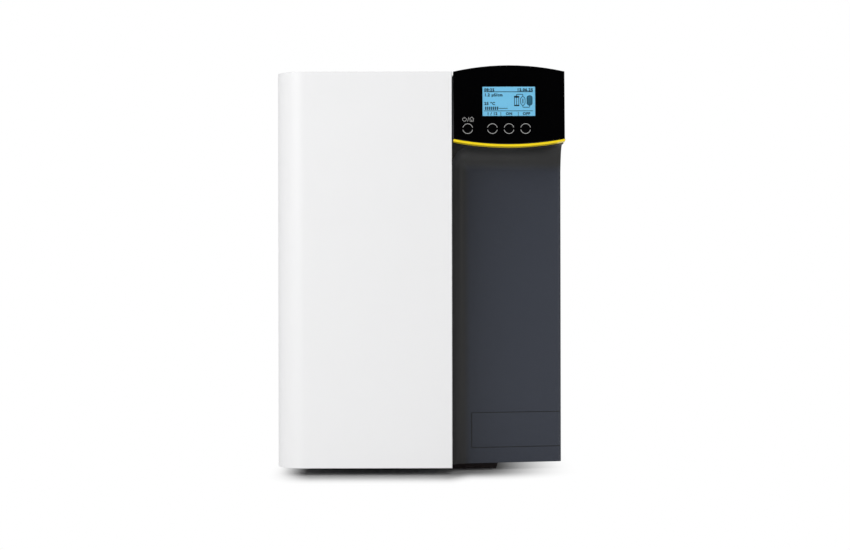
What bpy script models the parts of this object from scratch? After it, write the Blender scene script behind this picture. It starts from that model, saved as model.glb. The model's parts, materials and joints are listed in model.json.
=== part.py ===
"""Laboratory water purifier: a free-standing case with a hinged front door and a side column.

Frame: metres, +Z up, origin at the bottom centre of the machine's box, the front facing -Y.
The door fills the left of the front. The column on the right is set back, so that it forms a
niche under the display head. Water cartridges stand behind the door, the pump behind them,
and the electronics stand inside the column.
"""

import math

import bmesh
import bpy
from mathutils import Matrix, Vector

# Whole machine
BODY_WIDTH = 0.352
BODY_DEPTH = 0.500
OVERALL_HEIGHT = 0.500
HEAD_CROWN_RISE = 0.0085
CASE_BOTTOM_Z = 0.009
REAR_PROJECTION = 0.012

# Fits, walls and cuts shared by all pieces
FIT_GAP = 0.0003
OVERRUN = 0.012
SHEET = 0.0015
MOULDING = 0.003
PIECE_BEVEL = 0.0015

# Column and its niche
COLUMN_WIDTH = 0.138
FACE_LEFT_DEPTH = 0.0575
FACE_RIGHT_DEPTH = 0.0885
COLUMN_CORNER_RADIUS = 0.005
NICHE_CORNER_RADIUS = 0.026
COVE_RADIUS = 0.025
CEILING_DROP = 0.1006
COLUMN_RIB_DEPTH = 0.008
COLUMN_RIB_THICKNESS = 0.002
COLUMN_RIB_COUNT = 4
COLUMN_RIB_ANGLE = 138.0

# Cover plate low on the column
PLATE_THICKNESS = 0.0013
PLATE_LEFT_INSET = 0.0243
PLATE_BOTTOM_Z = 0.0284
PLATE_HEIGHT = 0.0438
PLATE_WING = 0.030

# Door
DOOR_WALL = 0.003
DOOR_LIP = 0.012
DOOR_CORNER_RADIUS = 0.035
DOOR_EDGE_BEVEL = 0.0014
DOOR_RIB = 0.002
DOOR_CELL_COUNT = 5
DOOR_COLUMN_STEP = 0.0002
DOOR_CLEARANCE = 0.001

# Hinge at the door's left rear edge
HINGE_SETBACK = 0.060
HINGE_ROLL_RADIUS = 0.0075
HINGE_ROLL_END = 120.0
HINGE_PIN_RADIUS = 0.002
HINGE_PIN_LENGTH = 0.018
HINGE_EYE_HEIGHT = 0.010
HINGE_ARM_THICKNESS = 0.003
HINGE_ARM_REAR = 0.0015
HINGE_INSET_Z = 0.021
SIDE_PANEL_SETBACK = 0.0087
POST_OFFSET = 0.0085
POST_WIDTH = 0.012
POST_FRONT = 0.006
POST_REAR = 0.008

# Door catch
CATCH_CELL = 3
MAGNET_WIDTH = 0.012
MAGNET_DEPTH = 0.010
MAGNET_HEIGHT = 0.030
STRIKE_WIDTH = 0.022
STRIKE_THICKNESS = 0.0012

# Base, rear panel and feet
PAN_CLEARANCE = 0.0005
PAN_LIP = 0.008
REAR_FLANGE = 0.0135
CASE_BEND_RADIUS = 0.003
FOOT_DEPTH = 0.030
FRONT_FOOT_SETBACK = 0.091
REAR_FOOT_INSET = 0.060
FOOT_LEFT_INSET = 0.050
FOOT_RIGHT_INSET = 0.078
FOOT_SLANT = 0.004

# Vents and screws of the rear panel
VENT_LENGTH = 0.046
VENT_HEIGHT = 0.0035
VENT_PITCH = 0.009
VENT_ROWS = 7
VENT_INSET = 0.072
VENT_DROP = 0.0965
VENT_COLUMNS = 2
VENT_COLUMN_PITCH = 0.060
SCREW_HEAD_RADIUS = 0.0033
SCREW_HEAD_HEIGHT = 0.0022
SCREW_SHANK_RADIUS = 0.0014
SCREW_SHANK_LENGTH = 0.005
SCREW_INSET = 0.0075
SCREW_RISE = 0.025
SCREW_BOSS_RADIUS = 0.005
SCREW_BOSS_LENGTH = 0.018

# Display head
HEAD_TILT = math.radians(4.6)
HEAD_SIDE_GAP = 0.0014
HEAD_RIGHT_INSET = 0.0006
HEAD_ARC_RISE = 0.0066
HEAD_TOP_RISE = 0.0077
STRIP_BASE = 0.0007
STRIP_HEIGHT = 0.0026
STRIP_PROUD = 0.0007
STRIP_END_RADIUS = 0.0012
BEZEL_DEPTH = 0.0115
BEZEL_WALL = 0.0022
BEZEL_FACE = 0.003
BEZEL_BEVEL = 0.0009
HOUSING_DEPTH = 0.034
HOUSING_WALL = 0.0025
HOUSING_OVERHANG = 0.0011
HOUSING_CORNER_RADIUS = 0.010
HOUSING_TOP_DROP = 0.0012
CABLE_HOLE_RADIUS = 0.011

# Screen
SCREEN_WIDTH = 0.0642
SCREEN_HEIGHT = 0.0363
SCREEN_BOTTOM = 0.0382
SCREEN_CORNER_RADIUS = 0.0006
WINDOW_FLANGE = 0.0024
WINDOW_FLANGE_THICKNESS = 0.0012
WINDOW_SINK = 0.0002
MODULE_MARGIN = 0.006
MODULE_THICKNESS = 0.0065

# Keys
KEY_RADIUS = 0.0072
KEY_HEIGHT = 0.0227
KEY_PITCH = 0.0202
POWER_KEY_OFFSET = 0.0503
KEY_FLANGE = 0.0013
KEY_FLANGE_THICKNESS = 0.001
KEY_STEM_RADIUS = 0.0016
KEY_TRAVEL = 0.0005
SWITCH_SIZE = 0.0062
SWITCH_HEIGHT = 0.0036
BOARD_THICKNESS = 0.0016
BOARD_MARGIN = 0.008
BOARD_SPACER_RADIUS = 0.003

# Carrier that the cartridges hang on
CARRIER_GAP = 0.024
CARRIER_THICKNESS = 0.003
CARRIER_TOP_DROP = 0.0215
CARRIER_LEFT_INSET = 0.018
CARRIER_NOTCH_HEIGHT = 0.030
CARRIER_NOTCH_WIDTH = 0.062
CARRIER_FOOT = 0.016

# Pretreatment cartridge and its bayonet head
CARTRIDGE_BAY_SHARE = 0.25036
CARTRIDGE_SIDE_GAP = 0.0185
CARTRIDGE_SETBACK = 0.116
CARTRIDGE_BOTTOM_Z = 0.044
CARTRIDGE_TOP_DROP = 0.1195
CARTRIDGE_FOOT_STEP = 0.011
CARTRIDGE_NECK_SHARE = 0.576925
CARTRIDGE_NECK_RISE = 0.056
CARTRIDGE_SHOULDER = 0.020
GRIP_RIB_COUNT = 12
GRIP_RIB_RADIUS = 0.0022
GRIP_RIB_HEIGHT = 0.030
LUG_REACH = 0.0065
LUG_ANGLE = 28.0
LUG_HEIGHT = 0.008
LUG_DROP = 0.019
SEAL_DEPTH = 0.002
SEAL_HEIGHT = 0.003
SEAL_DROP = 0.004
BAYONET_STEP = 0.006
BAYONET_SKIRT = 0.010
BAYONET_ROOF = 0.015
BAYONET_ARM_WIDTH = 0.040
BAYONET_ARM_HEIGHT = 0.016
BAYONET_PORT_SPACING = 0.036

# Reverse-osmosis modules and their clips
MODULE_BAY_SHARE = 0.17333
MODULE_CAP_STEP = 0.004
MODULE_CAP_HEIGHT = 0.024
MODULE_BOTTOM_Z = 0.066
MODULE_TOP_DROP = 0.0515
MODULE_WALL_GAP = 0.0045
MODULE_FRONT_GAP = 0.024
MODULE_GAP = 0.010
MODULE_PORT_OFFSET = 0.012
CLIP_THICKNESS = 0.0026
CLIP_HEIGHT = 0.018
CLIP_OPENING = 62.0
CLIP_BASE = 0.030
CLIP_LOW_RISE = 0.064
CLIP_HIGH_DROP = 0.060

# Hose ports
PORT_RADIUS = 0.005
PORT_HEIGHT = 0.011
HOSE_RADIUS = 0.003
HOSE_BEND = 0.024

# Booster pump and its motor
PUMP_X_INSET = 0.086
PUMP_PLACE_SHARE = 0.65327
PUMP_AXIS_Z = 0.086
MOTOR_RADIUS = 0.044
MOTOR_LENGTH = 0.122
MOTOR_CAP_LENGTH = 0.014
PUMP_HEAD_RADIUS = 0.034
PUMP_HEAD_LENGTH = 0.050
PUMP_NECK_RADIUS = 0.026
PUMP_NECK_LENGTH = 0.010
PUMP_PORT_OFFSET = 0.014
PUMP_CRADLE_WIDTH = 0.070
PUMP_CRADLE_THICKNESS = 0.006
PUMP_CRADLE_PLATE = 0.004
PUMP_MOUNT_RADIUS = 0.009
PUMP_MOUNT_HEIGHT = 0.018
MOTOR_FIN_COUNT = 4
MOTOR_FIN_GAP = 0.006
MOTOR_FIN_DEPTH = 0.003

# Inlet valve
VALVE_BODY_WIDTH = 0.030
VALVE_BODY_DEPTH = 0.044
VALVE_BODY_HEIGHT = 0.026
VALVE_COIL_RADIUS = 0.015
VALVE_COIL_HEIGHT = 0.034
VALVE_SETBACK = 0.060
VALVE_Z = 0.150

# Electronics in the column
SUPPLY_WIDTH = 0.050
SUPPLY_DEPTH = 0.160
SUPPLY_HEIGHT = 0.100
SUPPLY_Z = 0.060
SUPPLY_FRONT_Y = -0.080
SUPPLY_SLOT_COUNT = 6
SUPPLY_SLOT_WIDTH = 0.004
SUPPLY_SLOT_HEIGHT = 0.050
SUPPLY_SLOT_PITCH = 0.018
SUPPLY_SLOT_DEPTH = 0.003
MAIN_BOARD_DEPTH = 0.180
MAIN_BOARD_HEIGHT = 0.150
MAIN_BOARD_Z = 0.200
MAIN_BOARD_FRONT_Y = -0.070
MAIN_BOARD_STANDOFF = 0.010
CHIP_HEIGHT = 0.004
RELAY_HEIGHT = 0.016
CONNECTOR_HEIGHT = 0.011

# Mains inlet with fuse drawer and rocker switch
INLET_X_INSET = 0.050
INLET_Z = 0.075
INLET_WIDTH = 0.034
INLET_HEIGHT = 0.074
INLET_FLANGE = 0.005
INLET_FLANGE_THICKNESS = 0.003
INLET_BODY_DEPTH = 0.030
SOCKET_WIDTH = 0.0246
SOCKET_HEIGHT = 0.0168
SOCKET_DEPTH = 0.017
SOCKET_RISE = 0.0045
SOCKET_CHAMFER = 0.004
PIN_WIDTH = 0.004
PIN_THICKNESS = 0.002
PIN_LENGTH = 0.015
PIN_SPACING = 0.007
PIN_OFFSET = 0.002
DRAWER_WIDTH = 0.0246
DRAWER_HEIGHT = 0.011
DRAWER_DEPTH = 0.024
DRAWER_LIP = 0.0022
DRAWER_RISE = 0.0265
ROCKER_WIDTH = 0.0205
ROCKER_HEIGHT = 0.018
ROCKER_POCKET_DEPTH = 0.011
ROCKER_RISE = 0.0425
ROCKER_THROW = 14.0
ROCKER_THICKNESS = 0.005

# Push-in water ports on the rear panel
PORT_BOSS_RADIUS = 0.0090
PORT_BOSS_LENGTH = 0.0096
PORT_BLOCK_WIDTH = 0.026
PORT_BLOCK_DEPTH = 0.012
TUBE_BORE_RADIUS = 0.0042
COLLET_RADIUS = 0.0060
COLLET_FLANGE_RADIUS = 0.0073
COLLET_FLANGE_THICKNESS = 0.0013
COLLET_LENGTH = 0.009
COLLET_TRAVEL = 0.0009
BORE_DEPTH = 0.016
WATER_PORT_PITCH = 0.036
WATER_PORT_LOWEST_Z = 0.075
WATER_PORT_SIDE_GAP = 0.0332

# Signal sockets on the rear panel
DATA_PORT_WIDTH = 0.0308
DATA_PORT_HEIGHT = 0.0125
DATA_PORT_PLATE = 0.0012
DATA_BOSS_WIDTH = 0.0166
DATA_BOSS_HEIGHT = 0.0080
DATA_BOSS_TAPER = 0.0012
DATA_BOSS_LENGTH = 0.0058
DATA_PORT_Z = 0.200
SENSOR_RADIUS = 0.0085
SENSOR_RING_WIDTH = 0.0016
SENSOR_LENGTH = 0.0075
SENSOR_SHANK_RADIUS = 0.0058
SENSOR_SHANK_LENGTH = 0.012
SENSOR_Z = 0.165
SENSOR_GROOVE = 0.0011

# Facets on round work
FINE_STEPS = 32
ROUND_STEPS = 20
PORT_STEPS = 16
SMALL_STEPS = 12
SCREW_STEPS = 10
CORNER_STEPS = 6
COVE_STEPS = 8
ARC_STEPS = 12
HOSE_POINTS = 13
SMOOTH_LIMIT = math.radians(35.0)

# Places worked out from the sizes above
LEFT_X = -BODY_WIDTH / 2
RIGHT_X = BODY_WIDTH / 2
FRONT_Y = -BODY_DEPTH / 2
REAR_Y = BODY_DEPTH / 2 - REAR_PROJECTION
PANEL_FRONT_Y = REAR_Y - SHEET
INNER_REAR_Y = PANEL_FRONT_Y - FIT_GAP
CASE_TOP_Z = OVERALL_HEIGHT - HEAD_CROWN_RISE
CEILING_Z = OVERALL_HEIGHT - CEILING_DROP
ROOF_UNDER_Z = CASE_TOP_Z - SHEET
PAN_BOTTOM_Z = CASE_BOTTOM_Z + DOOR_WALL + PAN_CLEARANCE
PAN_FLOOR_Z = PAN_BOTTOM_Z + SHEET
SEAT_Z = PAN_FLOOR_Z + FIT_GAP

NICHE_X = RIGHT_X - COLUMN_WIDTH
COLUMN_LEFT_X = NICHE_X - MOULDING
COLUMN_TOP_Z = ROOF_UNDER_Z - FIT_GAP
FACE_YAW = math.atan2(FACE_RIGHT_DEPTH - FACE_LEFT_DEPTH, COLUMN_WIDTH)
DOOR_RIGHT_X = NICHE_X - DOOR_COLUMN_STEP
DOOR_BACK_Y = FRONT_Y + DOOR_LIP
WALL_FRONT_Y = DOOR_BACK_Y + DOOR_CLEARANCE

HINGE_X = LEFT_X + HINGE_ROLL_RADIUS
HINGE_Y = FRONT_Y + HINGE_SETBACK
HINGE_EYE_RADIUS = HINGE_ROLL_RADIUS - DOOR_WALL
PIN_HOLE_RADIUS = HINGE_PIN_RADIUS + FIT_GAP
SIDE_FRONT_Y = HINGE_Y + SIDE_PANEL_SETBACK
POST_X = HINGE_X + POST_OFFSET

BULKHEAD_RIGHT_X = COLUMN_LEFT_X - FIT_GAP
BULKHEAD_LEFT_X = BULKHEAD_RIGHT_X - SHEET
BULKHEAD_FRONT_Y = WALL_FRONT_Y + DOOR_CLEARANCE
BAY_LEFT_X = LEFT_X + SHEET
BAY_WIDTH = BULKHEAD_LEFT_X - BAY_LEFT_X

HEAD_LEFT_X = NICHE_X + HEAD_SIDE_GAP
HEAD_RIGHT_X = RIGHT_X - HEAD_RIGHT_INSET
HEAD_CENTRE_X = (HEAD_LEFT_X + HEAD_RIGHT_X) / 2
HEAD_HALF = (HEAD_RIGHT_X - HEAD_LEFT_X) / 2
HEAD_FACE_Y = FRONT_Y + STRIP_PROUD
HEAD_HEIGHT = (OVERALL_HEIGHT - CEILING_Z) / math.cos(HEAD_TILT)
HEAD_ORIGIN = (HEAD_CENTRE_X, HEAD_FACE_Y, CEILING_Z)
STRIP_DEPTH = BEZEL_DEPTH
SCREEN_CENTRE = SCREEN_BOTTOM + SCREEN_HEIGHT / 2

CARTRIDGE_RADIUS = CARTRIDGE_BAY_SHARE * BAY_WIDTH
CARTRIDGE_FOOT_RADIUS = CARTRIDGE_RADIUS - CARTRIDGE_FOOT_STEP
CARTRIDGE_NECK_RADIUS = CARTRIDGE_NECK_SHARE * CARTRIDGE_RADIUS
CARTRIDGE_TOP_Z = CASE_TOP_Z - CARTRIDGE_TOP_DROP
CARTRIDGE_NECK_TOP_Z = CARTRIDGE_TOP_Z + CARTRIDGE_NECK_RISE
CARTRIDGE_X = BAY_LEFT_X + CARTRIDGE_SIDE_GAP + CARTRIDGE_RADIUS
CARTRIDGE_Y = FRONT_Y + CARTRIDGE_SETBACK
LUG_BOTTOM_Z = CARTRIDGE_NECK_TOP_Z - LUG_DROP
BAYONET_RADIUS = CARTRIDGE_RADIUS - BAYONET_STEP
BAYONET_BOTTOM_Z = LUG_BOTTOM_Z - BAYONET_SKIRT
BAYONET_TOP_Z = CARTRIDGE_NECK_TOP_Z + BAYONET_ROOF

MODULE_CAP_RADIUS = MODULE_BAY_SHARE * BAY_WIDTH
MODULE_TUBE_RADIUS = MODULE_CAP_RADIUS - MODULE_CAP_STEP
MODULE_TOP_Z = CASE_TOP_Z - MODULE_TOP_DROP
MODULE_X = BULKHEAD_LEFT_X - MODULE_WALL_GAP - MODULE_TUBE_RADIUS
FRONT_MODULE_Y = FRONT_Y + MODULE_FRONT_GAP + MODULE_CAP_RADIUS
REAR_MODULE_Y = FRONT_MODULE_Y + 2 * MODULE_CAP_RADIUS + MODULE_GAP
CLIP_LOW_Z = MODULE_BOTTOM_Z + CLIP_LOW_RISE
CLIP_HIGH_Z = MODULE_TOP_Z - CLIP_HIGH_DROP

CARRIER_FRONT_Y = REAR_MODULE_Y + MODULE_CAP_RADIUS + CARRIER_GAP
CARRIER_REAR_Y = CARRIER_FRONT_Y + CARRIER_THICKNESS
CARRIER_TOP_Z = CASE_TOP_Z - CARRIER_TOP_DROP

PUMP_X = LEFT_X + PUMP_X_INSET
PUMP_SPAN = PUMP_HEAD_LENGTH + PUMP_NECK_LENGTH + MOTOR_LENGTH
PUMP_SLACK = PANEL_FRONT_Y - CARRIER_REAR_Y - PUMP_SPAN
PUMP_Y = CARRIER_REAR_Y + PUMP_PLACE_SHARE * PUMP_SLACK
INLET_X = RIGHT_X - INLET_X_INSET
VENT_FIRST_X = LEFT_X + VENT_INSET
VENT_LOWEST_Z = CASE_TOP_Z - VENT_DROP
WATER_PORT_X = BULKHEAD_LEFT_X - WATER_PORT_SIDE_GAP
FLANGE_FACE_Y = REAR_Y + FIT_GAP

# The axes that an outline can be extruded along, as the frame of (u, v, along)
AXIS_FRAMES = {
    "X": Matrix(((0, 0, 1), (1, 0, 0), (0, 1, 0))),
    "Y": Matrix(((1, 0, 0), (0, 0, 1), (0, 1, 0))),
    "Z": Matrix.Identity(3),
}
AXIS_DIRECTIONS = {
    "X": Vector((1, 0, 0)),
    "Y": Vector((0, 1, 0)),
    "Z": Vector((0, 0, 1)),
    "-Y": Vector((0, -1, 0)),
}

FINISHES = {
    "white_cover": ((0.84, 0.84, 0.84), 0.42, 0.0),
    "dark_moulding": ((0.040, 0.046, 0.056), 0.50, 0.0),
    "gloss_black": ((0.004, 0.004, 0.004), 0.10, 0.0),
    "housing_grey": ((0.10, 0.10, 0.10), 0.35, 0.0),
    "yellow_trim": ((0.95, 0.72, 0.012), 0.30, 0.0),
    "clear_window": ((0.80, 0.90, 0.95), 0.05, 0.0),
    "screen_blue": ((0.18, 0.52, 0.78), 0.30, 0.0),
    "circuit_green": ((0.02, 0.16, 0.07), 0.45, 0.0),
    "component_black": ((0.02, 0.02, 0.02), 0.45, 0.0),
    "sheet_steel": ((0.55, 0.56, 0.57), 0.38, 1.0),
    "bright_steel": ((0.62, 0.62, 0.62), 0.25, 1.0),
    "natural_plastic": ((0.80, 0.80, 0.76), 0.40, 0.0),
    "blue_plastic": ((0.05, 0.19, 0.46), 0.40, 0.0),
    "rubber": ((0.030, 0.022, 0.022), 0.80, 0.0),
    "motor_paint": ((0.05, 0.05, 0.06), 0.45, 0.0),
    "brass": ((0.72, 0.52, 0.22), 0.30, 1.0),
    "hose": ((0.82, 0.84, 0.86), 0.35, 0.0),
}


def clear_scene():
    """Removes every object of the open scene."""
    for item in list(bpy.data.objects):
        bpy.data.objects.remove(item, do_unlink=True)


def make_finish(name):
    """One Principled material from the table of finishes."""
    colour, roughness, metallic = FINISHES[name]
    finish = bpy.data.materials.get(name)
    if finish is None:
        finish = bpy.data.materials.new(name)
        finish.use_nodes = True
        shader = finish.node_tree.nodes["Principled BSDF"]
        shader.inputs["Base Color"].default_value = (*colour, 1.0)
        shader.inputs["Roughness"].default_value = roughness
        shader.inputs["Metallic"].default_value = metallic
    return finish


def arc(centre, radius, start, end, steps):
    """Points of a circle about centre, from start to end in degrees."""
    points = []
    for index in range(steps + 1):
        angle = math.radians(start + (end - start) * index / steps)
        points.append((centre[0] + radius * math.cos(angle), centre[1] + radius * math.sin(angle)))
    return points


def rectangle(low, high):
    """The four corners of an upright rectangle."""
    return [(low[0], low[1]), (high[0], low[1]), (high[0], high[1]), (low[0], high[1])]


def rounded_rectangle(low, high, radius, steps=CORNER_STEPS):
    """A rectangle whose corners are quarter circles."""
    left, bottom = low[0] + radius, low[1] + radius
    right, top = high[0] - radius, high[1] - radius
    outline = arc((left, bottom), radius, 180, 270, steps)
    outline += arc((right, bottom), radius, 270, 360, steps)
    outline += arc((right, top), radius, 0, 90, steps)
    outline += arc((left, top), radius, 90, 180, steps)
    return outline


def centred(width, height, centre=(0.0, 0.0)):
    """The low and high corners of a rectangle about a centre."""
    low = (centre[0] - width / 2, centre[1] - height / 2)
    high = (centre[0] + width / 2, centre[1] + height / 2)
    return low, high


def prism(outline, start, end, axis="Z"):
    """A closed solid: an outline extruded along an axis from start to end."""
    shape = bmesh.new()
    frame = AXIS_FRAMES[axis]
    corners = [shape.verts.new(frame @ Vector((u, v, start))) for u, v in outline]
    face = shape.faces.new(corners)
    sweep = bmesh.ops.extrude_face_region(shape, geom=[face])
    moved = [item for item in sweep["geom"] if isinstance(item, bmesh.types.BMVert)]
    bmesh.ops.translate(shape, verts=moved, vec=frame @ Vector((0, 0, end - start)))
    bmesh.ops.recalc_face_normals(shape, faces=shape.faces)
    return shape


def block(low, high):
    """A rectangular solid between two corners."""
    return prism(rectangle(low[:2], high[:2]), low[2], high[2])


def turned(profile, base=(0.0, 0.0, 0.0), axis="Z", steps=ROUND_STEPS, ring=False):
    """A profile of (radius, height) points turned about an axis through base.

    A ring's profile is closed on itself; any other one starts and ends on the axis.
    """
    shape = bmesh.new()
    points = [shape.verts.new((radius, 0.0, height)) for radius, height in profile]
    pairs = list(zip(points, points[1:]))
    if ring:
        pairs.append((points[-1], points[0]))
    edges = [shape.edges.new(pair) for pair in pairs]
    bmesh.ops.spin(
        shape,
        geom=points + edges,
        cent=(0, 0, 0),
        axis=(0, 0, 1),
        dvec=(0, 0, 0),
        angle=math.tau,
        steps=steps,
        use_merge=True,
    )
    bmesh.ops.remove_doubles(shape, verts=shape.verts, dist=FIT_GAP / 100)
    bmesh.ops.recalc_face_normals(shape, faces=shape.faces)
    turn = Vector((0, 0, 1)).rotation_difference(AXIS_DIRECTIONS[axis]).to_matrix().to_4x4()
    bmesh.ops.transform(shape, matrix=Matrix.Translation(base) @ turn, verts=shape.verts)
    return shape


def rod(radius, length, base=(0.0, 0.0, 0.0), axis="Z", steps=ROUND_STEPS):
    """A plain cylinder that starts at base."""
    profile = [(0.0, 0.0), (radius, 0.0), (radius, length), (0.0, length)]
    return turned(profile, base, axis, steps)


def tube(inner, outer, length, base=(0.0, 0.0, 0.0), axis="Z", steps=ROUND_STEPS):
    """A plain ring or bush that starts at base."""
    profile = [(inner, 0.0), (outer, 0.0), (outer, length), (inner, length)]
    return turned(profile, base, axis, steps, ring=True)


def joined(shapes):
    """Several solids in one mesh, each still its own body."""
    whole = bmesh.new()
    for shape in shapes:
        scratch = bpy.data.meshes.new("scratch")
        shape.to_mesh(scratch)
        shape.free()
        whole.from_mesh(scratch)
        bpy.data.meshes.remove(scratch)
    return whole


def moved(shape, offset):
    """The same solid, shifted by an offset."""
    bmesh.ops.translate(shape, verts=shape.verts, vec=Vector(offset))
    return shape


def rounded_edges(shape, chosen, width, segments=2):
    """Rounds each edge whose two ends pass the test."""
    edges = [edge for edge in shape.edges if chosen(edge.verts[0].co) and chosen(edge.verts[1].co)]
    bmesh.ops.bevel(
        shape,
        geom=edges,
        offset=width,
        segments=segments,
        profile=0.5,
        affect="EDGES",
        clamp_overlap=True,
    )
    return shape


def add_object(name, shape, origin, parent):
    """Links a mesh as an object whose origin is the given point."""
    bmesh.ops.translate(shape, verts=shape.verts, vec=-Vector(origin))
    data = bpy.data.meshes.new(name)
    shape.to_mesh(data)
    shape.free()
    item = bpy.data.objects.new(name, data)
    item.location = origin
    item.parent = parent
    bpy.context.scene.collection.objects.link(item)
    return item


def add_piece(name, shape, finish, origin=(0.0, 0.0, 0.0), parent=None, smooth=False):
    """One named piece of the machine in one finish."""
    piece = add_object(name, shape, origin, parent)
    piece.data.materials.append(make_finish(finish))
    if smooth:
        piece.data.shade_smooth()
        piece.data.set_sharp_from_angle(angle=SMOOTH_LIMIT)
    return piece


def add_cutter(name, shape, parent=None):
    """A hidden solid that only serves a Boolean."""
    cutter = add_object(name, shape, (0.0, 0.0, 0.0), parent)
    cutter.hide_render = True
    cutter.display_type = "WIRE"
    return cutter


def combine(piece, shape, operation, label, parent=None):
    """Cuts a hidden solid from the piece, or joins one to it."""
    cutter = add_cutter(f"{piece.name}_{label}", shape, parent)
    step = piece.modifiers.new(label, "BOOLEAN")
    step.operation = operation
    step.object = cutter
    step.solver = "EXACT"
    return cutter


def cut(piece, shape, label, parent=None):
    """Takes a solid away from the piece."""
    return combine(piece, shape, "DIFFERENCE", label, parent)


def add_to(piece, shape, label, parent=None):
    """Joins a solid to the piece."""
    return combine(piece, shape, "UNION", label, parent)


def add_hose(name, route, parent=None):
    """A round hose along a smooth curve through its route, with a straight stretch at each end."""
    route = [Vector(point) for point in route]
    lead = 2 * HOSE_RADIUS
    start = route[0] + lead * (route[1] - route[0]).normalized()
    end = route[-1] + lead * (route[-2] - route[-1]).normalized()
    points = [route[0]] + smooth_route([start] + route[1:-1] + [end], HOSE_POINTS) + [route[-1]]
    curve = bpy.data.curves.new(name, "CURVE")
    curve.dimensions = "3D"
    curve.bevel_depth = HOSE_RADIUS
    curve.bevel_resolution = 2
    curve.use_fill_caps = True
    spline = curve.splines.new("POLY")
    spline.points.add(len(points) - 1)
    for slot, point in zip(spline.points, points):
        slot.co = (*point, 1.0)
    curve.materials.append(make_finish("hose"))
    item = bpy.data.objects.new(name, curve)
    item.parent = parent
    bpy.context.scene.collection.objects.link(item)
    return item


def smooth_route(route, count):
    """Evenly shared points on a Catmull-Rom curve through a route."""
    ends = [2 * route[0] - route[1]] + route + [2 * route[-1] - route[-2]]
    spans = len(route) - 1
    points = []
    for index in range(count + 1):
        place = spans * index / count
        span = min(int(place), spans - 1)
        t = place - span
        p0, p1, p2, p3 = ends[span:span + 4]
        point = 2 * p1 + (p2 - p0) * t
        point += (2 * p0 - 5 * p1 + 4 * p2 - p3) * t ** 2
        point += (3 * p1 - p0 - 3 * p2 + p3) * t ** 3
        points.append(point / 2)
    return points


def bow(offset, half, rise):
    """How far a circular arc has left its middle tangent at an offset from the middle."""
    radius = (half ** 2 + rise ** 2) / (2 * rise)
    return radius - math.sqrt(radius ** 2 - offset ** 2)


def face_y(x):
    """The depth of the column's slanted face at a place across the machine."""
    share = (x - NICHE_X) / COLUMN_WIDTH
    return FRONT_Y + FACE_LEFT_DEPTH + share * (FACE_RIGHT_DEPTH - FACE_LEFT_DEPTH)


def face_point(x, offset):
    """A point in plan on the column's face, moved forward by an offset."""
    shifted = x - offset * math.sin(FACE_YAW)
    return x, face_y(shifted) - offset * math.cos(FACE_YAW)


def niche_corner():
    """Centre in plan of the round between the niche's wall and the column's face."""
    x = NICHE_X + NICHE_CORNER_RADIUS
    return x, face_y(x) - NICHE_CORNER_RADIUS / math.cos(FACE_YAW)


def column_corner():
    """Centre in plan of the round at the column's right front corner."""
    x = RIGHT_X - COLUMN_CORNER_RADIUS
    return x, face_y(x) + COLUMN_CORNER_RADIUS / math.cos(FACE_YAW)


def inner_round(offset):
    """The round between niche wall and face, in plan."""
    yaw = math.degrees(FACE_YAW)
    return arc(niche_corner(), NICHE_CORNER_RADIUS - offset, 180, 90 + yaw, CORNER_STEPS)


def outer_round(offset):
    """The round at the column's right front corner, in plan."""
    yaw = math.degrees(FACE_YAW)
    return arc(column_corner(), COLUMN_CORNER_RADIUS + offset, yaw - 90, 0, CORNER_STEPS)


def niche_ring(offset):
    """The niche's outline in plan, drawn in by an offset, with its front and right sides free."""
    path = inner_round(offset) + outer_round(offset)
    far_x = RIGHT_X + COVE_RADIUS + OVERRUN
    near_y = FRONT_Y - OVERRUN
    wall_x = NICHE_X + offset
    return [(wall_x, near_y)] + path + [(far_x, path[-1][1]), (far_x, near_y)]


def ceiling_rise(x):
    """How much higher the niche's arched ceiling is than at its middle."""
    return bow(x - HEAD_CENTRE_X, HEAD_HALF, HEAD_ARC_RISE)


def niche_solid(offset):
    """The niche's air: a loft of rings that draw in to a cove under an arched ceiling.

    A negative offset gives the same form, larger all round by that much, which is the back
    of a wall of that thickness.
    """
    shape = bmesh.new()
    cove = COVE_RADIUS - offset
    top = CEILING_Z - offset
    levels = [(offset, CASE_BOTTOM_Z - OVERRUN, 0.0)]
    for step in range(COVE_STEPS + 1):
        angle = math.radians(90 * step / COVE_STEPS)
        drawn_in = offset + cove * (1 - math.cos(angle))
        levels.append((drawn_in, top - cove + cove * math.sin(angle), math.sin(angle)))
    rings = []
    for drawn_in, z, _ in levels:
        rings.append([shape.verts.new((x, y, z)) for x, y in niche_ring(drawn_in)])
    for lower, upper in zip(rings, rings[1:]):
        for index in range(len(lower)):
            after = (index + 1) % len(lower)
            shape.faces.new((lower[index], lower[after], upper[after], upper[index]))
    shape.faces.new(rings[0])
    shape.faces.new(rings[-1])
    spacing = (RIGHT_X - NICHE_X) / ARC_STEPS
    for step in range(1, ARC_STEPS + 1):
        bmesh.ops.bisect_plane(
            shape,
            geom=list(shape.verts) + list(shape.edges) + list(shape.faces),
            dist=FIT_GAP / 100,
            plane_co=(NICHE_X + spacing * step, 0, 0),
            plane_no=(1, 0, 0),
        )
    start = top - cove
    for vert in shape.verts:
        if vert.co.z > start:
            share = min((vert.co.z - start) / cove, 1.0)
            vert.co.z += share * ceiling_rise(vert.co.x)
    bmesh.ops.triangulate(shape, faces=shape.faces)
    bmesh.ops.recalc_face_normals(shape, faces=shape.faces)
    return shape


def face_band(start_x, wing, front, back):
    """A strip in plan that follows the column's face, its corner and its right side."""
    outline = [face_point(start_x, front)] + outer_round(front)
    outline.append((RIGHT_X + front, outline[-1][1] + wing))
    inner = [face_point(start_x, back)] + outer_round(back)
    inner.append((RIGHT_X + back, outline[-1][1]))
    return outline + inner[::-1]


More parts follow.
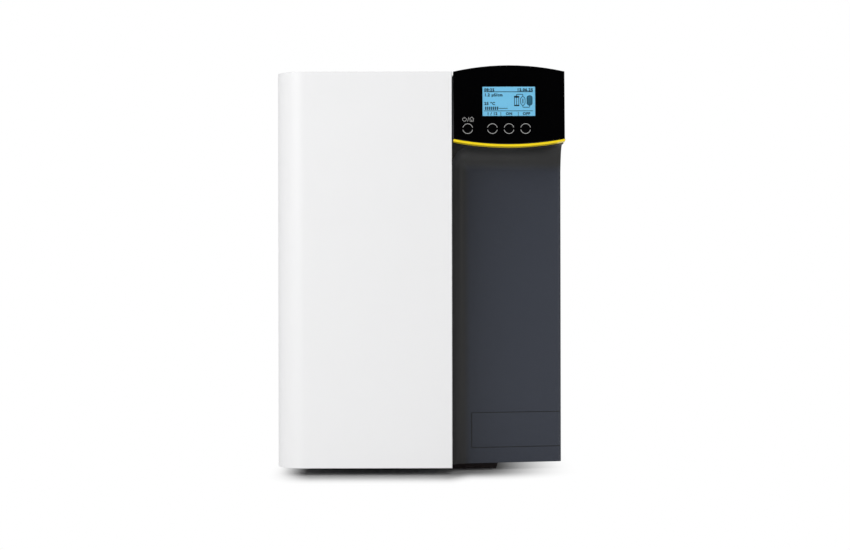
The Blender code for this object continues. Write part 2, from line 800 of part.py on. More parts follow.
def head_place(inward, upward):
    """A point of the tilted head's side view as depth and height in the machine."""
    lean = Vector((inward, upward))
    lean.rotate(Matrix.Rotation(-HEAD_TILT, 2))
    return HEAD_FACE_Y + lean.x, CEILING_Z + lean.y


def build_column_cover():
    """The dark moulding: side wall, slanted face, coved niche and the box above it."""
    shell = block(
        (COLUMN_LEFT_X, WALL_FRONT_Y, CASE_BOTTOM_Z),
        (RIGHT_X, INNER_REAR_Y, COLUMN_TOP_Z),
    )
    cover = add_piece("column_cover", shell, "dark_moulding", smooth=True)
    cut(cover, niche_solid(0.0), "niche")
    seat = rectangle(
        (-OVERRUN, -HEAD_HEIGHT / 4),
        (HOUSING_DEPTH + FIT_GAP, HEAD_HEIGHT + OVERRUN),
    )
    seat = [head_place(inward, upward) for inward, upward in seat]
    cut(cover, prism(seat, NICHE_X, RIGHT_X + OVERRUN, "X"), "head_seat")
    wall_end_y = niche_corner()[1] + SHEET
    cavity_front_y = head_place(HOUSING_DEPTH, HEAD_HEIGHT)[0] + MOULDING
    cavity_plan = [
        (NICHE_X, cavity_front_y),
        (RIGHT_X - MOULDING, cavity_front_y),
        (RIGHT_X - MOULDING, REAR_Y + OVERRUN),
        (COLUMN_LEFT_X - OVERRUN, REAR_Y + OVERRUN),
        (COLUMN_LEFT_X - OVERRUN, wall_end_y),
        (NICHE_X, wall_end_y),
    ]
    cavity = prism(cavity_plan, CASE_BOTTOM_Z - OVERRUN, COLUMN_TOP_Z - MOULDING)
    hollow = cut(cover, cavity, "cavity")
    cut(hollow, niche_solid(-MOULDING), "wall")
    rib_angles = (COLUMN_RIB_ANGLE, 90 + math.degrees(FACE_YAW), COVE_STEPS)
    rib_start = arc(niche_corner(), NICHE_CORNER_RADIUS + MOULDING - FIT_GAP, *rib_angles)
    rib_back = arc(niche_corner(), NICHE_CORNER_RADIUS + MOULDING + COLUMN_RIB_DEPTH, *rib_angles)
    rib_front_end = face_point(RIGHT_X - 2 * MOULDING, -MOULDING + FIT_GAP)
    rib_back_end = face_point(RIGHT_X - 2 * MOULDING, -MOULDING - COLUMN_RIB_DEPTH)
    rib_plan = rib_start + [rib_front_end, rib_back_end] + rib_back[::-1]
    spacing = (CEILING_Z - COVE_RADIUS - PLATE_BOTTOM_Z - PLATE_HEIGHT) / COLUMN_RIB_COUNT
    first = PLATE_BOTTOM_Z + PLATE_HEIGHT + spacing / 2
    ribs = []
    for index in range(COLUMN_RIB_COUNT):
        z = first + index * spacing
        ribs.append(prism(rib_plan, z, z + COLUMN_RIB_THICKNESS))
    add_to(cover, joined(ribs), "ribs")
    recess_plan = face_band(
        NICHE_X + PLATE_LEFT_INSET - FIT_GAP,
        PLATE_WING + FIT_GAP,
        OVERRUN,
        -PLATE_THICKNESS - FIT_GAP,
    )
    recess = prism(
        recess_plan,
        PLATE_BOTTOM_Z - FIT_GAP,
        PLATE_BOTTOM_Z + PLATE_HEIGHT + FIT_GAP,
    )
    cut(cover, recess, "plate_recess")
    bosses = []
    start = INNER_REAR_Y - SCREW_BOSS_LENGTH
    for x, z in screw_places():
        if x > 0:
            base = (x, start, z)
            bosses.append(rod(SCREW_BOSS_RADIUS, SCREW_BOSS_LENGTH, base, "Y", SMALL_STEPS))
    add_to(cover, joined(bosses), "screw_bosses")
    cut(cover, screw_holes(), "screw_holes")
    return cover


def build_column_plate():
    """The flush cover plate that wraps round the column's lower right corner."""
    plan = face_band(NICHE_X + PLATE_LEFT_INSET, PLATE_WING, 0.0, -PLATE_THICKNESS)
    plate = prism(plan, PLATE_BOTTOM_Z, PLATE_BOTTOM_Z + PLATE_HEIGHT)
    return add_piece("column_plate", plate, "dark_moulding", smooth=True)


def door_outline(offset, steps=CORNER_STEPS):
    """The door's round corner in plan, from its front towards the hinge, drawn in by an offset."""
    centre = (LEFT_X + DOOR_CORNER_RADIUS, FRONT_Y + DOOR_CORNER_RADIUS)
    return arc(centre, DOOR_CORNER_RADIUS - offset, 270, 180, steps)


def hinge_heights():
    """The heights of the two hinge arms' undersides."""
    low = CASE_BOTTOM_Z + HINGE_INSET_Z
    high = CASE_TOP_Z - HINGE_INSET_Z - HINGE_ARM_THICKNESS
    return low, high


def hinge_eye_bases():
    """The heights of the undersides of the door's two hinge eyes."""
    low, high = hinge_heights()
    return low + HINGE_ARM_THICKNESS + FIT_GAP, high - HINGE_EYE_HEIGHT - FIT_GAP


def build_door():
    """The white door: a moulded pan with lips, ribs, a round corner and a rolled hinge edge."""
    end_y = HINGE_Y - SIDE_PANEL_SETBACK
    roll = arc((HINGE_X, HINGE_Y), HINGE_ROLL_RADIUS, 180, HINGE_ROLL_END, CORNER_STEPS)
    roll += arc((HINGE_X, HINGE_Y), HINGE_EYE_RADIUS, HINGE_ROLL_END, 180, CORNER_STEPS)
    plan = [(DOOR_RIGHT_X, FRONT_Y)] + door_outline(0.0, 2 * CORNER_STEPS) + roll
    plan += [(LEFT_X + DOOR_WALL, end_y), (LEFT_X + DOOR_LIP, end_y)]
    plan += door_outline(DOOR_LIP)[::-1]
    plan.append((DOOR_RIGHT_X, DOOR_BACK_Y))
    pan = prism(plan, CASE_BOTTOM_Z, CASE_TOP_Z)

    middle_z = (CASE_BOTTOM_Z + CASE_TOP_Z) / 2

    def on_upper_rim(point):
        """True on the skin's outer line at the door's top."""
        outside = door_edge_distance(point.x, point.y) < FIT_GAP and point.y < HINGE_Y - FIT_GAP
        return outside and point.z > middle_z

    def on_lower_rim(point):
        """True on the skin's outer line at the door's bottom."""
        outside = door_edge_distance(point.x, point.y) < FIT_GAP and point.y < HINGE_Y - FIT_GAP
        return outside and point.z < middle_z

    def on_free_edge(point):
        """True on the skin's upright edge beside the column."""
        return point.x > DOOR_RIGHT_X - DOOR_EDGE_BEVEL - FIT_GAP and point.y < FRONT_Y + FIT_GAP

    for chosen in (on_free_edge, on_upper_rim, on_lower_rim):
        rounded_edges(pan, chosen, DOOR_EDGE_BEVEL)
    door = add_piece("front_door", pan, "white_cover", (HINGE_X, HINGE_Y, CASE_BOTTOM_Z), smooth=True)
    pocket_plan = [(DOOR_RIGHT_X - DOOR_WALL, FRONT_Y + DOOR_WALL)] + door_outline(DOOR_WALL)
    pocket_plan += [
        (LEFT_X + DOOR_WALL, end_y + DOOR_WALL),
        (LEFT_X + DOOR_LIP + OVERRUN, end_y + DOOR_WALL),
        (LEFT_X + DOOR_LIP + OVERRUN, DOOR_BACK_Y + OVERRUN),
        (DOOR_RIGHT_X - DOOR_WALL, DOOR_BACK_Y + OVERRUN),
    ]
    inside = CASE_TOP_Z - CASE_BOTTOM_Z - 2 * DOOR_WALL
    cell = (inside - (DOOR_CELL_COUNT - 1) * DOOR_RIB) / DOOR_CELL_COUNT
    cells = []
    for index in range(DOOR_CELL_COUNT):
        z = CASE_BOTTOM_Z + DOOR_WALL + index * (cell + DOOR_RIB)
        cells.append(prism(pocket_plan, z, z + cell))
    cut(door, joined(cells), "pockets")
    eyes = []
    for z in hinge_eye_bases():
        eyes.append(rod(HINGE_EYE_RADIUS + FIT_GAP, HINGE_EYE_HEIGHT, (HINGE_X, HINGE_Y, z)))
    add_to(door, joined(eyes), "eyes")
    holes = []
    for z in hinge_eye_bases():
        base = (HINGE_X, HINGE_Y, z - OVERRUN)
        holes.append(rod(PIN_HOLE_RADIUS, HINGE_EYE_HEIGHT + 2 * OVERRUN, base, steps=SMALL_STEPS))
    cut(door, joined(holes), "pin_holes")
    return door


def door_edge_distance(x, y):
    """How far a point in plan lies inside the door's outer skin line."""
    centre_x = LEFT_X + DOOR_CORNER_RADIUS
    centre_y = FRONT_Y + DOOR_CORNER_RADIUS
    if x < centre_x and y < centre_y:
        return DOOR_CORNER_RADIUS - math.hypot(x - centre_x, y - centre_y)
    return min(x - LEFT_X, y - FRONT_Y)


def build_hinge_pins():
    """Two steel pins that stand in the post's arms and carry the door's eyes."""
    low, high = hinge_heights()
    starts = {
        "lower_hinge_pin": low - FIT_GAP,
        "upper_hinge_pin": high + HINGE_ARM_THICKNESS + FIT_GAP - HINGE_PIN_LENGTH,
    }
    for name, z in starts.items():
        base = (HINGE_X, HINGE_Y, z)
        pin = rod(HINGE_PIN_RADIUS, HINGE_PIN_LENGTH, base, steps=SMALL_STEPS)
        add_piece(name, pin, "bright_steel", base, smooth=True)


def build_hinge_post():
    """The folded post behind the door's left edge, with an arm above and one below."""
    left, right = POST_X, POST_X + POST_WIDTH
    front, rear = HINGE_Y - POST_FRONT, HINGE_Y + POST_REAR
    plan = [
        (right, front),
        (left, front),
        (left, rear),
        (right, rear),
        (right, rear - SHEET),
        (left + SHEET, rear - SHEET),
        (left + SHEET, front + SHEET),
        (right, front + SHEET),
    ]
    post = add_piece(
        "hinge_post",
        prism(plan, SEAT_Z, COLUMN_TOP_Z),
        "sheet_steel",
        (HINGE_X, HINGE_Y, SEAT_Z),
    )
    arm_radius = HINGE_EYE_RADIUS - FIT_GAP
    reach = left + SHEET / 2
    rear_angle = math.degrees(math.asin(HINGE_ARM_REAR / arm_radius))
    arm_plan = [(reach, HINGE_Y - arm_radius)]
    arm_plan += arc((HINGE_X, HINGE_Y), arm_radius, 270, rear_angle, 2 * CORNER_STEPS)
    arm_plan.append((reach, HINGE_Y + HINGE_ARM_REAR))
    arms = [prism(arm_plan, z, z + HINGE_ARM_THICKNESS) for z in hinge_heights()]
    add_to(post, joined(arms), "arms")
    holes = []
    for z in hinge_heights():
        base = (HINGE_X, HINGE_Y, z - OVERRUN)
        length = HINGE_ARM_THICKNESS + 2 * OVERRUN
        holes.append(rod(PIN_HOLE_RADIUS, length, base, steps=SMALL_STEPS))
    cut(post, joined(holes), "pin_holes")
    return post


def hinge_clearance():
    """The round space that the door's rolled edge sweeps as it opens."""
    length = CASE_TOP_Z - CASE_BOTTOM_Z + 2 * OVERRUN
    base = (HINGE_X, HINGE_Y, CASE_BOTTOM_Z - OVERRUN)
    return rod(HINGE_ROLL_RADIUS + PAN_CLEARANCE, length, base)


def build_base_pan():
    """The folded steel tray that carries everything: cut back for the door and the niche."""
    left = LEFT_X + SHEET + FIT_GAP
    right = RIGHT_X - MOULDING - FIT_GAP
    rear = PANEL_FRONT_Y - FIT_GAP
    lip_clear = DOOR_LIP + PAN_CLEARANCE
    side_front = SIDE_FRONT_Y + FIT_GAP
    corner_centre = (LEFT_X + DOOR_CORNER_RADIUS, FRONT_Y + DOOR_CORNER_RADIUS)
    corner = arc(corner_centre, DOOR_CORNER_RADIUS - lip_clear, 180, 270, CORNER_STEPS)
    front = FRONT_Y + lip_clear

    def plan(inset):
        """The tray's outline in plan, drawn in by an inset."""
        inner_corner = [
            (corner_centre[0] + (x - corner_centre[0]) * (1 - inset / (DOOR_CORNER_RADIUS - lip_clear)),
             corner_centre[1] + (y - corner_centre[1]) * (1 - inset / (DOOR_CORNER_RADIUS - lip_clear)))
            for x, y in corner
        ]
        step_x = BULKHEAD_RIGHT_X - FIT_GAP
        face_back = -MOULDING - COLUMN_RIB_THICKNESS - inset
        return [
            (left + inset, rear - inset),
            (left + inset, side_front + inset),
            (LEFT_X + lip_clear + inset, side_front + inset),
        ] + inner_corner + [
            (step_x - inset, front + inset),
            (step_x - inset, face_point(step_x, face_back)[1]),
            (right - inset, face_point(right, face_back)[1]),
            (right - inset, rear - inset),
        ]

    pan = add_piece("base_pan", prism(plan(0.0), PAN_BOTTOM_Z, PAN_FLOOR_Z + PAN_LIP), "sheet_steel")
    cut(pan, prism(plan(SHEET), PAN_FLOOR_Z, PAN_FLOOR_Z + PAN_LIP + OVERRUN), "tray")
    seat_rear = face_y(BULKHEAD_RIGHT_X) + 2 * MOULDING + SHEET
    bulkhead_seat = block(
        (BULKHEAD_LEFT_X - PAN_LIP - FIT_GAP, BULKHEAD_FRONT_Y, PAN_FLOOR_Z),
        (BULKHEAD_RIGHT_X + FIT_GAP, seat_rear, PAN_FLOOR_Z + OVERRUN),
    )
    cut(pan, bulkhead_seat, "bulkhead_seat")
    cut(pan, hinge_clearance(), "hinge_clearance")
    return pan


def build_feet():
    """A rubber foot across the front and one across the rear, slanted at both ends."""
    left = LEFT_X + FOOT_LEFT_INSET
    right = RIGHT_X - FOOT_RIGHT_INSET
    top = PAN_BOTTOM_Z - FIT_GAP
    outline = [
        (left + FOOT_SLANT, 0.0),
        (right - FOOT_SLANT, 0.0),
        (right, top),
        (left, top),
    ]
    front = FRONT_Y + FRONT_FOOT_SETBACK
    rear = REAR_Y - REAR_FOOT_INSET
    for name, start in (("front_foot", front), ("rear_foot", rear)):
        add_piece(name, prism(outline, start, start + FOOT_DEPTH, "Y"), "rubber")


def build_case_cover():
    """The white sheet cover: left side and roof in one bend, cleared for door and head."""
    inner_left = LEFT_X + SHEET
    bend = (LEFT_X + CASE_BEND_RADIUS, CASE_TOP_Z - CASE_BEND_RADIUS)
    outline = [(LEFT_X, CASE_BOTTOM_Z)]
    outline += arc(bend, CASE_BEND_RADIUS, 180, 90, CORNER_STEPS)
    outline += [(RIGHT_X, CASE_TOP_Z), (RIGHT_X, ROOF_UNDER_Z)]
    outline += arc(bend, CASE_BEND_RADIUS - SHEET, 90, 180, CORNER_STEPS)
    outline.append((inner_left, CASE_BOTTOM_Z))
    cover = prism(outline, DOOR_BACK_Y + PAN_CLEARANCE, PANEL_FRONT_Y - FIT_GAP, "Y")
    piece = add_piece("case_cover", cover, "white_cover", smooth=True)
    lip_clear = DOOR_LIP + PAN_CLEARANCE
    corner_centre = (LEFT_X + DOOR_CORNER_RADIUS, FRONT_Y + DOOR_CORNER_RADIUS)
    door_plan = [
        (LEFT_X - OVERRUN, FRONT_Y - OVERRUN),
        (corner_centre[0], FRONT_Y - OVERRUN),
        (corner_centre[0], FRONT_Y + lip_clear),
    ]
    door_plan += arc(corner_centre, DOOR_CORNER_RADIUS - lip_clear, 270, 180, CORNER_STEPS)[1:]
    door_plan += [(LEFT_X + lip_clear, SIDE_FRONT_Y), (LEFT_X - OVERRUN, SIDE_FRONT_Y)]
    cut(piece, prism(door_plan, CASE_BOTTOM_Z - OVERRUN, CASE_TOP_Z + OVERRUN), "door_clearance")
    head_rear = HEAD_FACE_Y + HOUSING_DEPTH / math.cos(HEAD_TILT) + HEAD_HEIGHT * math.tan(HEAD_TILT)
    head_plan = rectangle(
        (NICHE_X - MOULDING, FRONT_Y - OVERRUN),
        (RIGHT_X + OVERRUN, head_rear + DOOR_CLEARANCE),
    )
    cut(piece, prism(head_plan, ROOF_UNDER_Z - OVERRUN, CASE_TOP_Z + OVERRUN), "head_clearance")
    cut(piece, hinge_clearance(), "hinge_clearance")
    flange = block(
        (LEFT_X + SHEET / 2, INNER_REAR_Y - SHEET, PAN_FLOOR_Z + PAN_LIP + FIT_GAP),
        (LEFT_X + REAR_FLANGE, INNER_REAR_Y, CASE_TOP_Z - SHEET / 2),
    )
    add_to(piece, flange, "rear_flange")
    cut(piece, screw_holes(), "screw_holes")
    return piece


def vent_slots():
    """The rows of slots high on the rear panel."""
    slots = []
    for column in range(VENT_COLUMNS):
        centre_x = VENT_FIRST_X + column * VENT_COLUMN_PITCH
        for row in range(VENT_ROWS):
            centre = (centre_x, VENT_LOWEST_Z + row * VENT_PITCH)
            low, high = centred(VENT_LENGTH, VENT_HEIGHT, centre)
            outline = rounded_rectangle(low, high, VENT_HEIGHT / 2 - FIT_GAP, 1)
            slots.append(prism(outline, PANEL_FRONT_Y - OVERRUN, REAR_Y + OVERRUN, "Y"))
    return joined(slots)


def screw_places():
    """Where the rear panel's four screws stand, in X and Z."""
    left, right = LEFT_X + SCREW_INSET, RIGHT_X - SCREW_INSET
    low, high = CASE_BOTTOM_Z + SCREW_RISE, CASE_TOP_Z - SCREW_RISE
    return [(left, low), (right, low), (left, high), (right, high)]


def screw_holes():
    """The holes that the rear panel's screws pass through or bite into."""
    start = PANEL_FRONT_Y - 2 * SCREW_SHANK_LENGTH
    radius = SCREW_SHANK_RADIUS + FIT_GAP
    length = REAR_Y + SHEET - start
    holes = [rod(radius, length, (x, start, z), "Y", SCREW_STEPS) for x, z in screw_places()]
    return joined(holes)


def port_heights():
    """The heights of the drain, product and feed ports, low to high."""
    return [WATER_PORT_LOWEST_Z + index * WATER_PORT_PITCH for index in range(3)]


def build_rear_panel():
    """The white rear panel: a sheet with vents and the openings for ports and sockets."""
    sheet = prism(
        rectangle((LEFT_X, CASE_BOTTOM_Z), (RIGHT_X, CASE_TOP_Z)), PANEL_FRONT_Y, REAR_Y, "Y"
    )
    panel = add_piece("rear_panel", sheet, "white_cover")
    cut(panel, vent_slots(), "vents")
    openings = []
    front, back = PANEL_FRONT_Y - SHEET, REAR_Y + SHEET
    inlet = centred(INLET_WIDTH + 2 * FIT_GAP, INLET_HEIGHT + 2 * FIT_GAP, (INLET_X, INLET_Z))
    openings.append(prism(rectangle(*inlet), front, back, "Y"))
    for z in port_heights():
        openings.append(
            rod(PORT_BOSS_RADIUS + FIT_GAP, back - front, (WATER_PORT_X, front, z), "Y", PORT_STEPS)
        )
    openings.append(
        rod(SENSOR_SHANK_RADIUS + FIT_GAP, back - front, (INLET_X, front, SENSOR_Z), "Y", PORT_STEPS)
    )
    cut(panel, joined(openings), "openings")
    cut(panel, screw_holes(), "screw_holes")
    return panel


def build_rear_screws():
    """Four pan-head screws that close the rear panel."""
    profile = [
        (0.0, 0.0),
        (SCREW_SHANK_RADIUS, 0.0),
        (SCREW_SHANK_RADIUS, SCREW_SHANK_LENGTH),
        (SCREW_HEAD_RADIUS, SCREW_SHANK_LENGTH),
        (SCREW_HEAD_RADIUS, SCREW_SHANK_LENGTH + SCREW_HEAD_HEIGHT / 2),
        (SCREW_HEAD_RADIUS / 2, SCREW_SHANK_LENGTH + SCREW_HEAD_HEIGHT),
        (0.0, SCREW_SHANK_LENGTH + SCREW_HEAD_HEIGHT),
    ]
    start = FLANGE_FACE_Y - SCREW_SHANK_LENGTH
    for index, (x, z) in enumerate(screw_places()):
        screw = turned(profile, (x, start, z), "Y", SCREW_STEPS)
        add_piece(f"rear_screw_{index + 1}", screw, "bright_steel", smooth=True)


def build_bulkhead():
    """The steel wall between the water side and the electronics, standing on its own foot."""
    rear = INNER_REAR_Y - SHEET - FIT_GAP
    outline = [
        (BULKHEAD_RIGHT_X, SEAT_Z),
        (BULKHEAD_RIGHT_X, COLUMN_TOP_Z),
        (BULKHEAD_LEFT_X, COLUMN_TOP_Z),
        (BULKHEAD_LEFT_X, SEAT_Z + SHEET),
        (BULKHEAD_LEFT_X - PAN_LIP, SEAT_Z + SHEET),
        (BULKHEAD_LEFT_X - PAN_LIP, SEAT_Z),
    ]
    start = BULKHEAD_FRONT_Y + SHEET + PAN_CLEARANCE
    bulkhead = add_piece("bulkhead", prism(outline, start, rear, "Y"), "sheet_steel")
    studs = []
    length = SHEET / 2 + MAIN_BOARD_STANDOFF
    for y, z in stud_places():
        base = (BULKHEAD_RIGHT_X - SHEET / 2, y, z)
        studs.append(rod(BOARD_SPACER_RADIUS, length, base, "X", SMALL_STEPS))
    add_to(bulkhead, joined(studs), "studs")
    return bulkhead


def stud_places():
    """Where the main board's four studs stand, in Y and Z."""
    near = MAIN_BOARD_FRONT_Y + BOARD_MARGIN
    far = MAIN_BOARD_FRONT_Y + MAIN_BOARD_DEPTH - BOARD_MARGIN
    low = MAIN_BOARD_Z + BOARD_MARGIN
    high = MAIN_BOARD_Z + MAIN_BOARD_HEIGHT - BOARD_MARGIN
    return [(near, low), (far, low), (near, high), (far, high)]


def catch_height():
    """The middle height of the door catch, level with one of the door's ribs."""
    inside = CASE_TOP_Z - CASE_BOTTOM_Z - 2 * DOOR_WALL
    cell = (inside - (DOOR_CELL_COUNT - 1) * DOOR_RIB) / DOOR_CELL_COUNT
    return CASE_BOTTOM_Z + DOOR_WALL + CATCH_CELL * (cell + DOOR_RIB) - DOOR_RIB / 2


def build_catch():
    """A magnet on the bulkhead's front edge and a steel strike on the door's rib."""
    right = BULKHEAD_LEFT_X - FIT_GAP
    front = DOOR_BACK_Y + STRIKE_THICKNESS + 2 * FIT_GAP
    low_z = catch_height() - MAGNET_HEIGHT / 2
    high_z = low_z + MAGNET_HEIGHT
    magnet = block((right - MAGNET_WIDTH, front, low_z), (right, front + MAGNET_DEPTH, high_z))
    add_piece("door_magnet", magnet, "component_black")
    strike_back = DOOR_BACK_Y + FIT_GAP + STRIKE_THICKNESS
    strike = block((right - STRIKE_WIDTH, DOOR_BACK_Y + FIT_GAP, low_z), (right, strike_back, high_z))
    add_piece("door_strike", strike, "bright_steel", (HINGE_X, HINGE_Y, CASE_BOTTOM_Z))


def head_outline(left, right, bottom, top, top_rise=HEAD_TOP_RISE):
    """The display head's front outline: straight sides between two arcs."""
    outline = []
    for index in range(ARC_STEPS + 1):
        x = left + (right - left) * index / ARC_STEPS
        outline.append((x, bottom + bow(x, HEAD_HALF, HEAD_ARC_RISE)))
    for index in range(ARC_STEPS + 1):
        x = right - (right - left) * index / ARC_STEPS
        outline.append((x, top - bow(x, HEAD_HALF, top_rise)))
    return outline


def key_places():
    """The keys' names and their places across the head."""
    return [
        ("power_key", -POWER_KEY_OFFSET),
        ("left_key", -KEY_PITCH),
        ("middle_key", 0.0),
        ("right_key", KEY_PITCH),
    ]


def build_bezel(head_mount):
    """The gloss black front of the head, with its screen opening and four key holes."""
    bottom = STRIP_BASE + STRIP_HEIGHT + FIT_GAP
    outline = head_outline(-HEAD_HALF, HEAD_HALF, bottom, HEAD_HEIGHT)
    shell = prism(outline, 0.0, BEZEL_DEPTH, "Y")
    rounded_edges(shell, lambda point: point.y < FIT_GAP, BEZEL_BEVEL)
    bezel = add_piece("head_bezel", shell, "gloss_black", parent=head_mount, smooth=True)
    inner = head_outline(
        -HEAD_HALF + BEZEL_WALL, HEAD_HALF - BEZEL_WALL, bottom + BEZEL_WALL, HEAD_HEIGHT - BEZEL_WALL
    )
    cut(bezel, prism(inner, BEZEL_FACE, BEZEL_DEPTH + OVERRUN, "Y"), "back", head_mount)
    low, high = centred(SCREEN_WIDTH, SCREEN_HEIGHT, (0.0, SCREEN_CENTRE))
    holes = [prism(rounded_rectangle(low, high, SCREEN_CORNER_RADIUS, 2), -OVERRUN, OVERRUN, "Y")]
    for _, x in key_places():
        base = (x, -OVERRUN, KEY_HEIGHT)
        holes.append(rod(KEY_RADIUS + FIT_GAP, 2 * OVERRUN, base, "Y", PORT_STEPS))
    cut(bezel, joined(holes), "openings", head_mount)
    return bezel


def build_trim_strip(head_mount):
    """The yellow strip under the bezel, a bar between two arcs with round ends."""
    left, right = -HEAD_HALF, HEAD_HALF + HEAD_RIGHT_INSET
    outline = []
    for index in range(ARC_STEPS + 1):
        x = left + (right - left) * index / ARC_STEPS
        outline.append((x, STRIP_BASE + bow(x, HEAD_HALF, HEAD_ARC_RISE)))
    upper = [(x, z + STRIP_HEIGHT) for x, z in outline[::-1]]
    bar = prism(outline + upper, -STRIP_PROUD, STRIP_DEPTH, "Y")
    rounded_edges(bar, lambda point: abs(point.x - left) < FIT_GAP, STRIP_END_RADIUS)
    rounded_edges(bar, lambda point: abs(point.x - right) < FIT_GAP, STRIP_END_RADIUS)
    return add_piece("trim_strip", bar, "yellow_trim", parent=head_mount, smooth=True)


def build_head_housing(head_mount):
    """The grey box behind the bezel: a spigot inside its rim, then the full outline."""
    left = -HEAD_HALF - HOUSING_OVERHANG
    right = HEAD_HALF
    bottom = HOUSING_TOP_DROP
    top = HEAD_HEIGHT - HOUSING_TOP_DROP
    front = max(BEZEL_DEPTH, STRIP_DEPTH) + FIT_GAP
    main = prism(head_outline(left, right, bottom, top), front, HOUSING_DEPTH, "Y")

    def on_upper_left(point):
        """True on the long edge at the housing's top left corner."""
        return point.x < left + FIT_GAP and point.z > HEAD_HEIGHT / 2

    rounded_edges(main, on_upper_left, HOUSING_CORNER_RADIUS, CORNER_STEPS)
    housing = add_piece("head_housing", main, "housing_grey", parent=head_mount, smooth=True)
    inset = BEZEL_WALL + FIT_GAP
    spigot_low = STRIP_BASE + STRIP_HEIGHT + FIT_GAP + inset
    spigot = head_outline(-HEAD_HALF + inset, HEAD_HALF - inset, spigot_low, HEAD_HEIGHT - inset)
    start = BEZEL_FACE + FIT_GAP
    add_to(housing, prism(spigot, start, front + HOUSING_WALL, "Y"), "spigot", head_mount)
    wall = inset + HOUSING_WALL
    inner = head_outline(
        -HEAD_HALF + wall, HEAD_HALF - wall, spigot_low + HOUSING_WALL, HEAD_HEIGHT - wall
    )
    rear = HOUSING_DEPTH - HOUSING_WALL
    cut(housing, prism(inner, start - OVERRUN, rear, "Y"), "inside", head_mount)
    bosses = []
    start = key_board_depth() + BOARD_THICKNESS + FIT_GAP
    length = rear + HOUSING_WALL / 2 - start
    low, high = key_board_corners()
    for x in (low[0] + BOARD_SPACER_RADIUS, high[0] - BOARD_SPACER_RADIUS):
        for z in (low[1] + BOARD_SPACER_RADIUS, high[1] - BOARD_SPACER_RADIUS):
            bosses.append(rod(BOARD_SPACER_RADIUS, length, (x, start, z), "Y", SMALL_STEPS))
    add_to(housing, joined(bosses), "bosses", head_mount)
    base = (0.0, rear - OVERRUN, HEAD_HEIGHT / 2)
    cut(housing, rod(CABLE_HOLE_RADIUS, 2 * OVERRUN, base, "Y"), "cable_hole", head_mount)
    return housing


def build_screen(head_mount):
    """The clear window in the bezel and the display module behind it."""
    low, high = centred(
        SCREEN_WIDTH - 2 * FIT_GAP, SCREEN_HEIGHT - 2 * FIT_GAP, (0.0, SCREEN_CENTRE)
    )
    seat = BEZEL_FACE + FIT_GAP
    pane = prism(rounded_rectangle(low, high, SCREEN_CORNER_RADIUS, 2), WINDOW_SINK, seat, "Y")
    window = add_piece("display_window", pane, "clear_window", parent=head_mount)
    flange_low, flange_high = centred(
        SCREEN_WIDTH + 2 * WINDOW_FLANGE, SCREEN_HEIGHT + 2 * WINDOW_FLANGE, (0.0, SCREEN_CENTRE)
    )
    flange_end = seat + WINDOW_FLANGE_THICKNESS
    flange = prism(rectangle(flange_low, flange_high), seat, flange_end, "Y")
    add_to(window, flange, "flange", head_mount)
    module_low, module_high = centred(
        SCREEN_WIDTH + 2 * MODULE_MARGIN, SCREEN_HEIGHT + 2 * MODULE_MARGIN, (0.0, SCREEN_CENTRE)
    )
    start = flange_end + FIT_GAP
    module = prism(rectangle(module_low, module_high), start, start + MODULE_THICKNESS, "Y")
    add_piece("display_module", module, "screen_blue", parent=head_mount)


def key_board_depth():
    """How far behind the bezel's face the key board's front lies."""
    return BEZEL_FACE + WINDOW_FLANGE_THICKNESS + 3 * FIT_GAP + MODULE_THICKNESS


def key_board_corners():
    """The low and high corners of the key board in the head."""
    inset = BEZEL_WALL + HOUSING_WALL + 2 * FIT_GAP + BOARD_MARGIN
    low = (-HEAD_HALF + inset, KEY_HEIGHT - BOARD_MARGIN)
    return low, (HEAD_HALF - inset, SCREEN_CENTRE + SCREEN_HEIGHT / 2)


def build_keys(head_mount):
    """Four round keys in the bezel, each pressed straight in against its switch."""
    front_clear = BEZEL_FACE + FIT_GAP
    board_y = key_board_depth()
    stem_end = board_y - SWITCH_HEIGHT - FIT_GAP - KEY_TRAVEL
    for name, x in key_places():
        profile = [
            (0.0, 0.0),
            (KEY_RADIUS - PIECE_BEVEL / 3, 0.0),
            (KEY_RADIUS, PIECE_BEVEL / 3),
            (KEY_RADIUS, front_clear),
            (KEY_RADIUS + KEY_FLANGE, front_clear),
            (KEY_RADIUS + KEY_FLANGE, front_clear + KEY_FLANGE_THICKNESS),
            (KEY_STEM_RADIUS, front_clear + KEY_FLANGE_THICKNESS),
            (KEY_STEM_RADIUS, stem_end),
            (0.0, stem_end),
        ]
        key = turned(profile, (x, 0.0, KEY_HEIGHT), "Y", PORT_STEPS)
        add_piece(name, key, "gloss_black", (x, 0.0, KEY_HEIGHT), head_mount, smooth=True)
    board = prism(rectangle(*key_board_corners()), board_y, board_y + BOARD_THICKNESS, "Y")
    key_board = add_piece("key_board", board, "circuit_green", parent=head_mount)
    switches = []
    for _, x in key_places():
        low, high = centred(SWITCH_SIZE, SWITCH_SIZE, (x, KEY_HEIGHT))
        start = board_y - SWITCH_HEIGHT
        switches.append(prism(rectangle(low, high), start, board_y + BOARD_THICKNESS / 2, "Y"))
    add_to(key_board, joined(switches), "switches", head_mount)


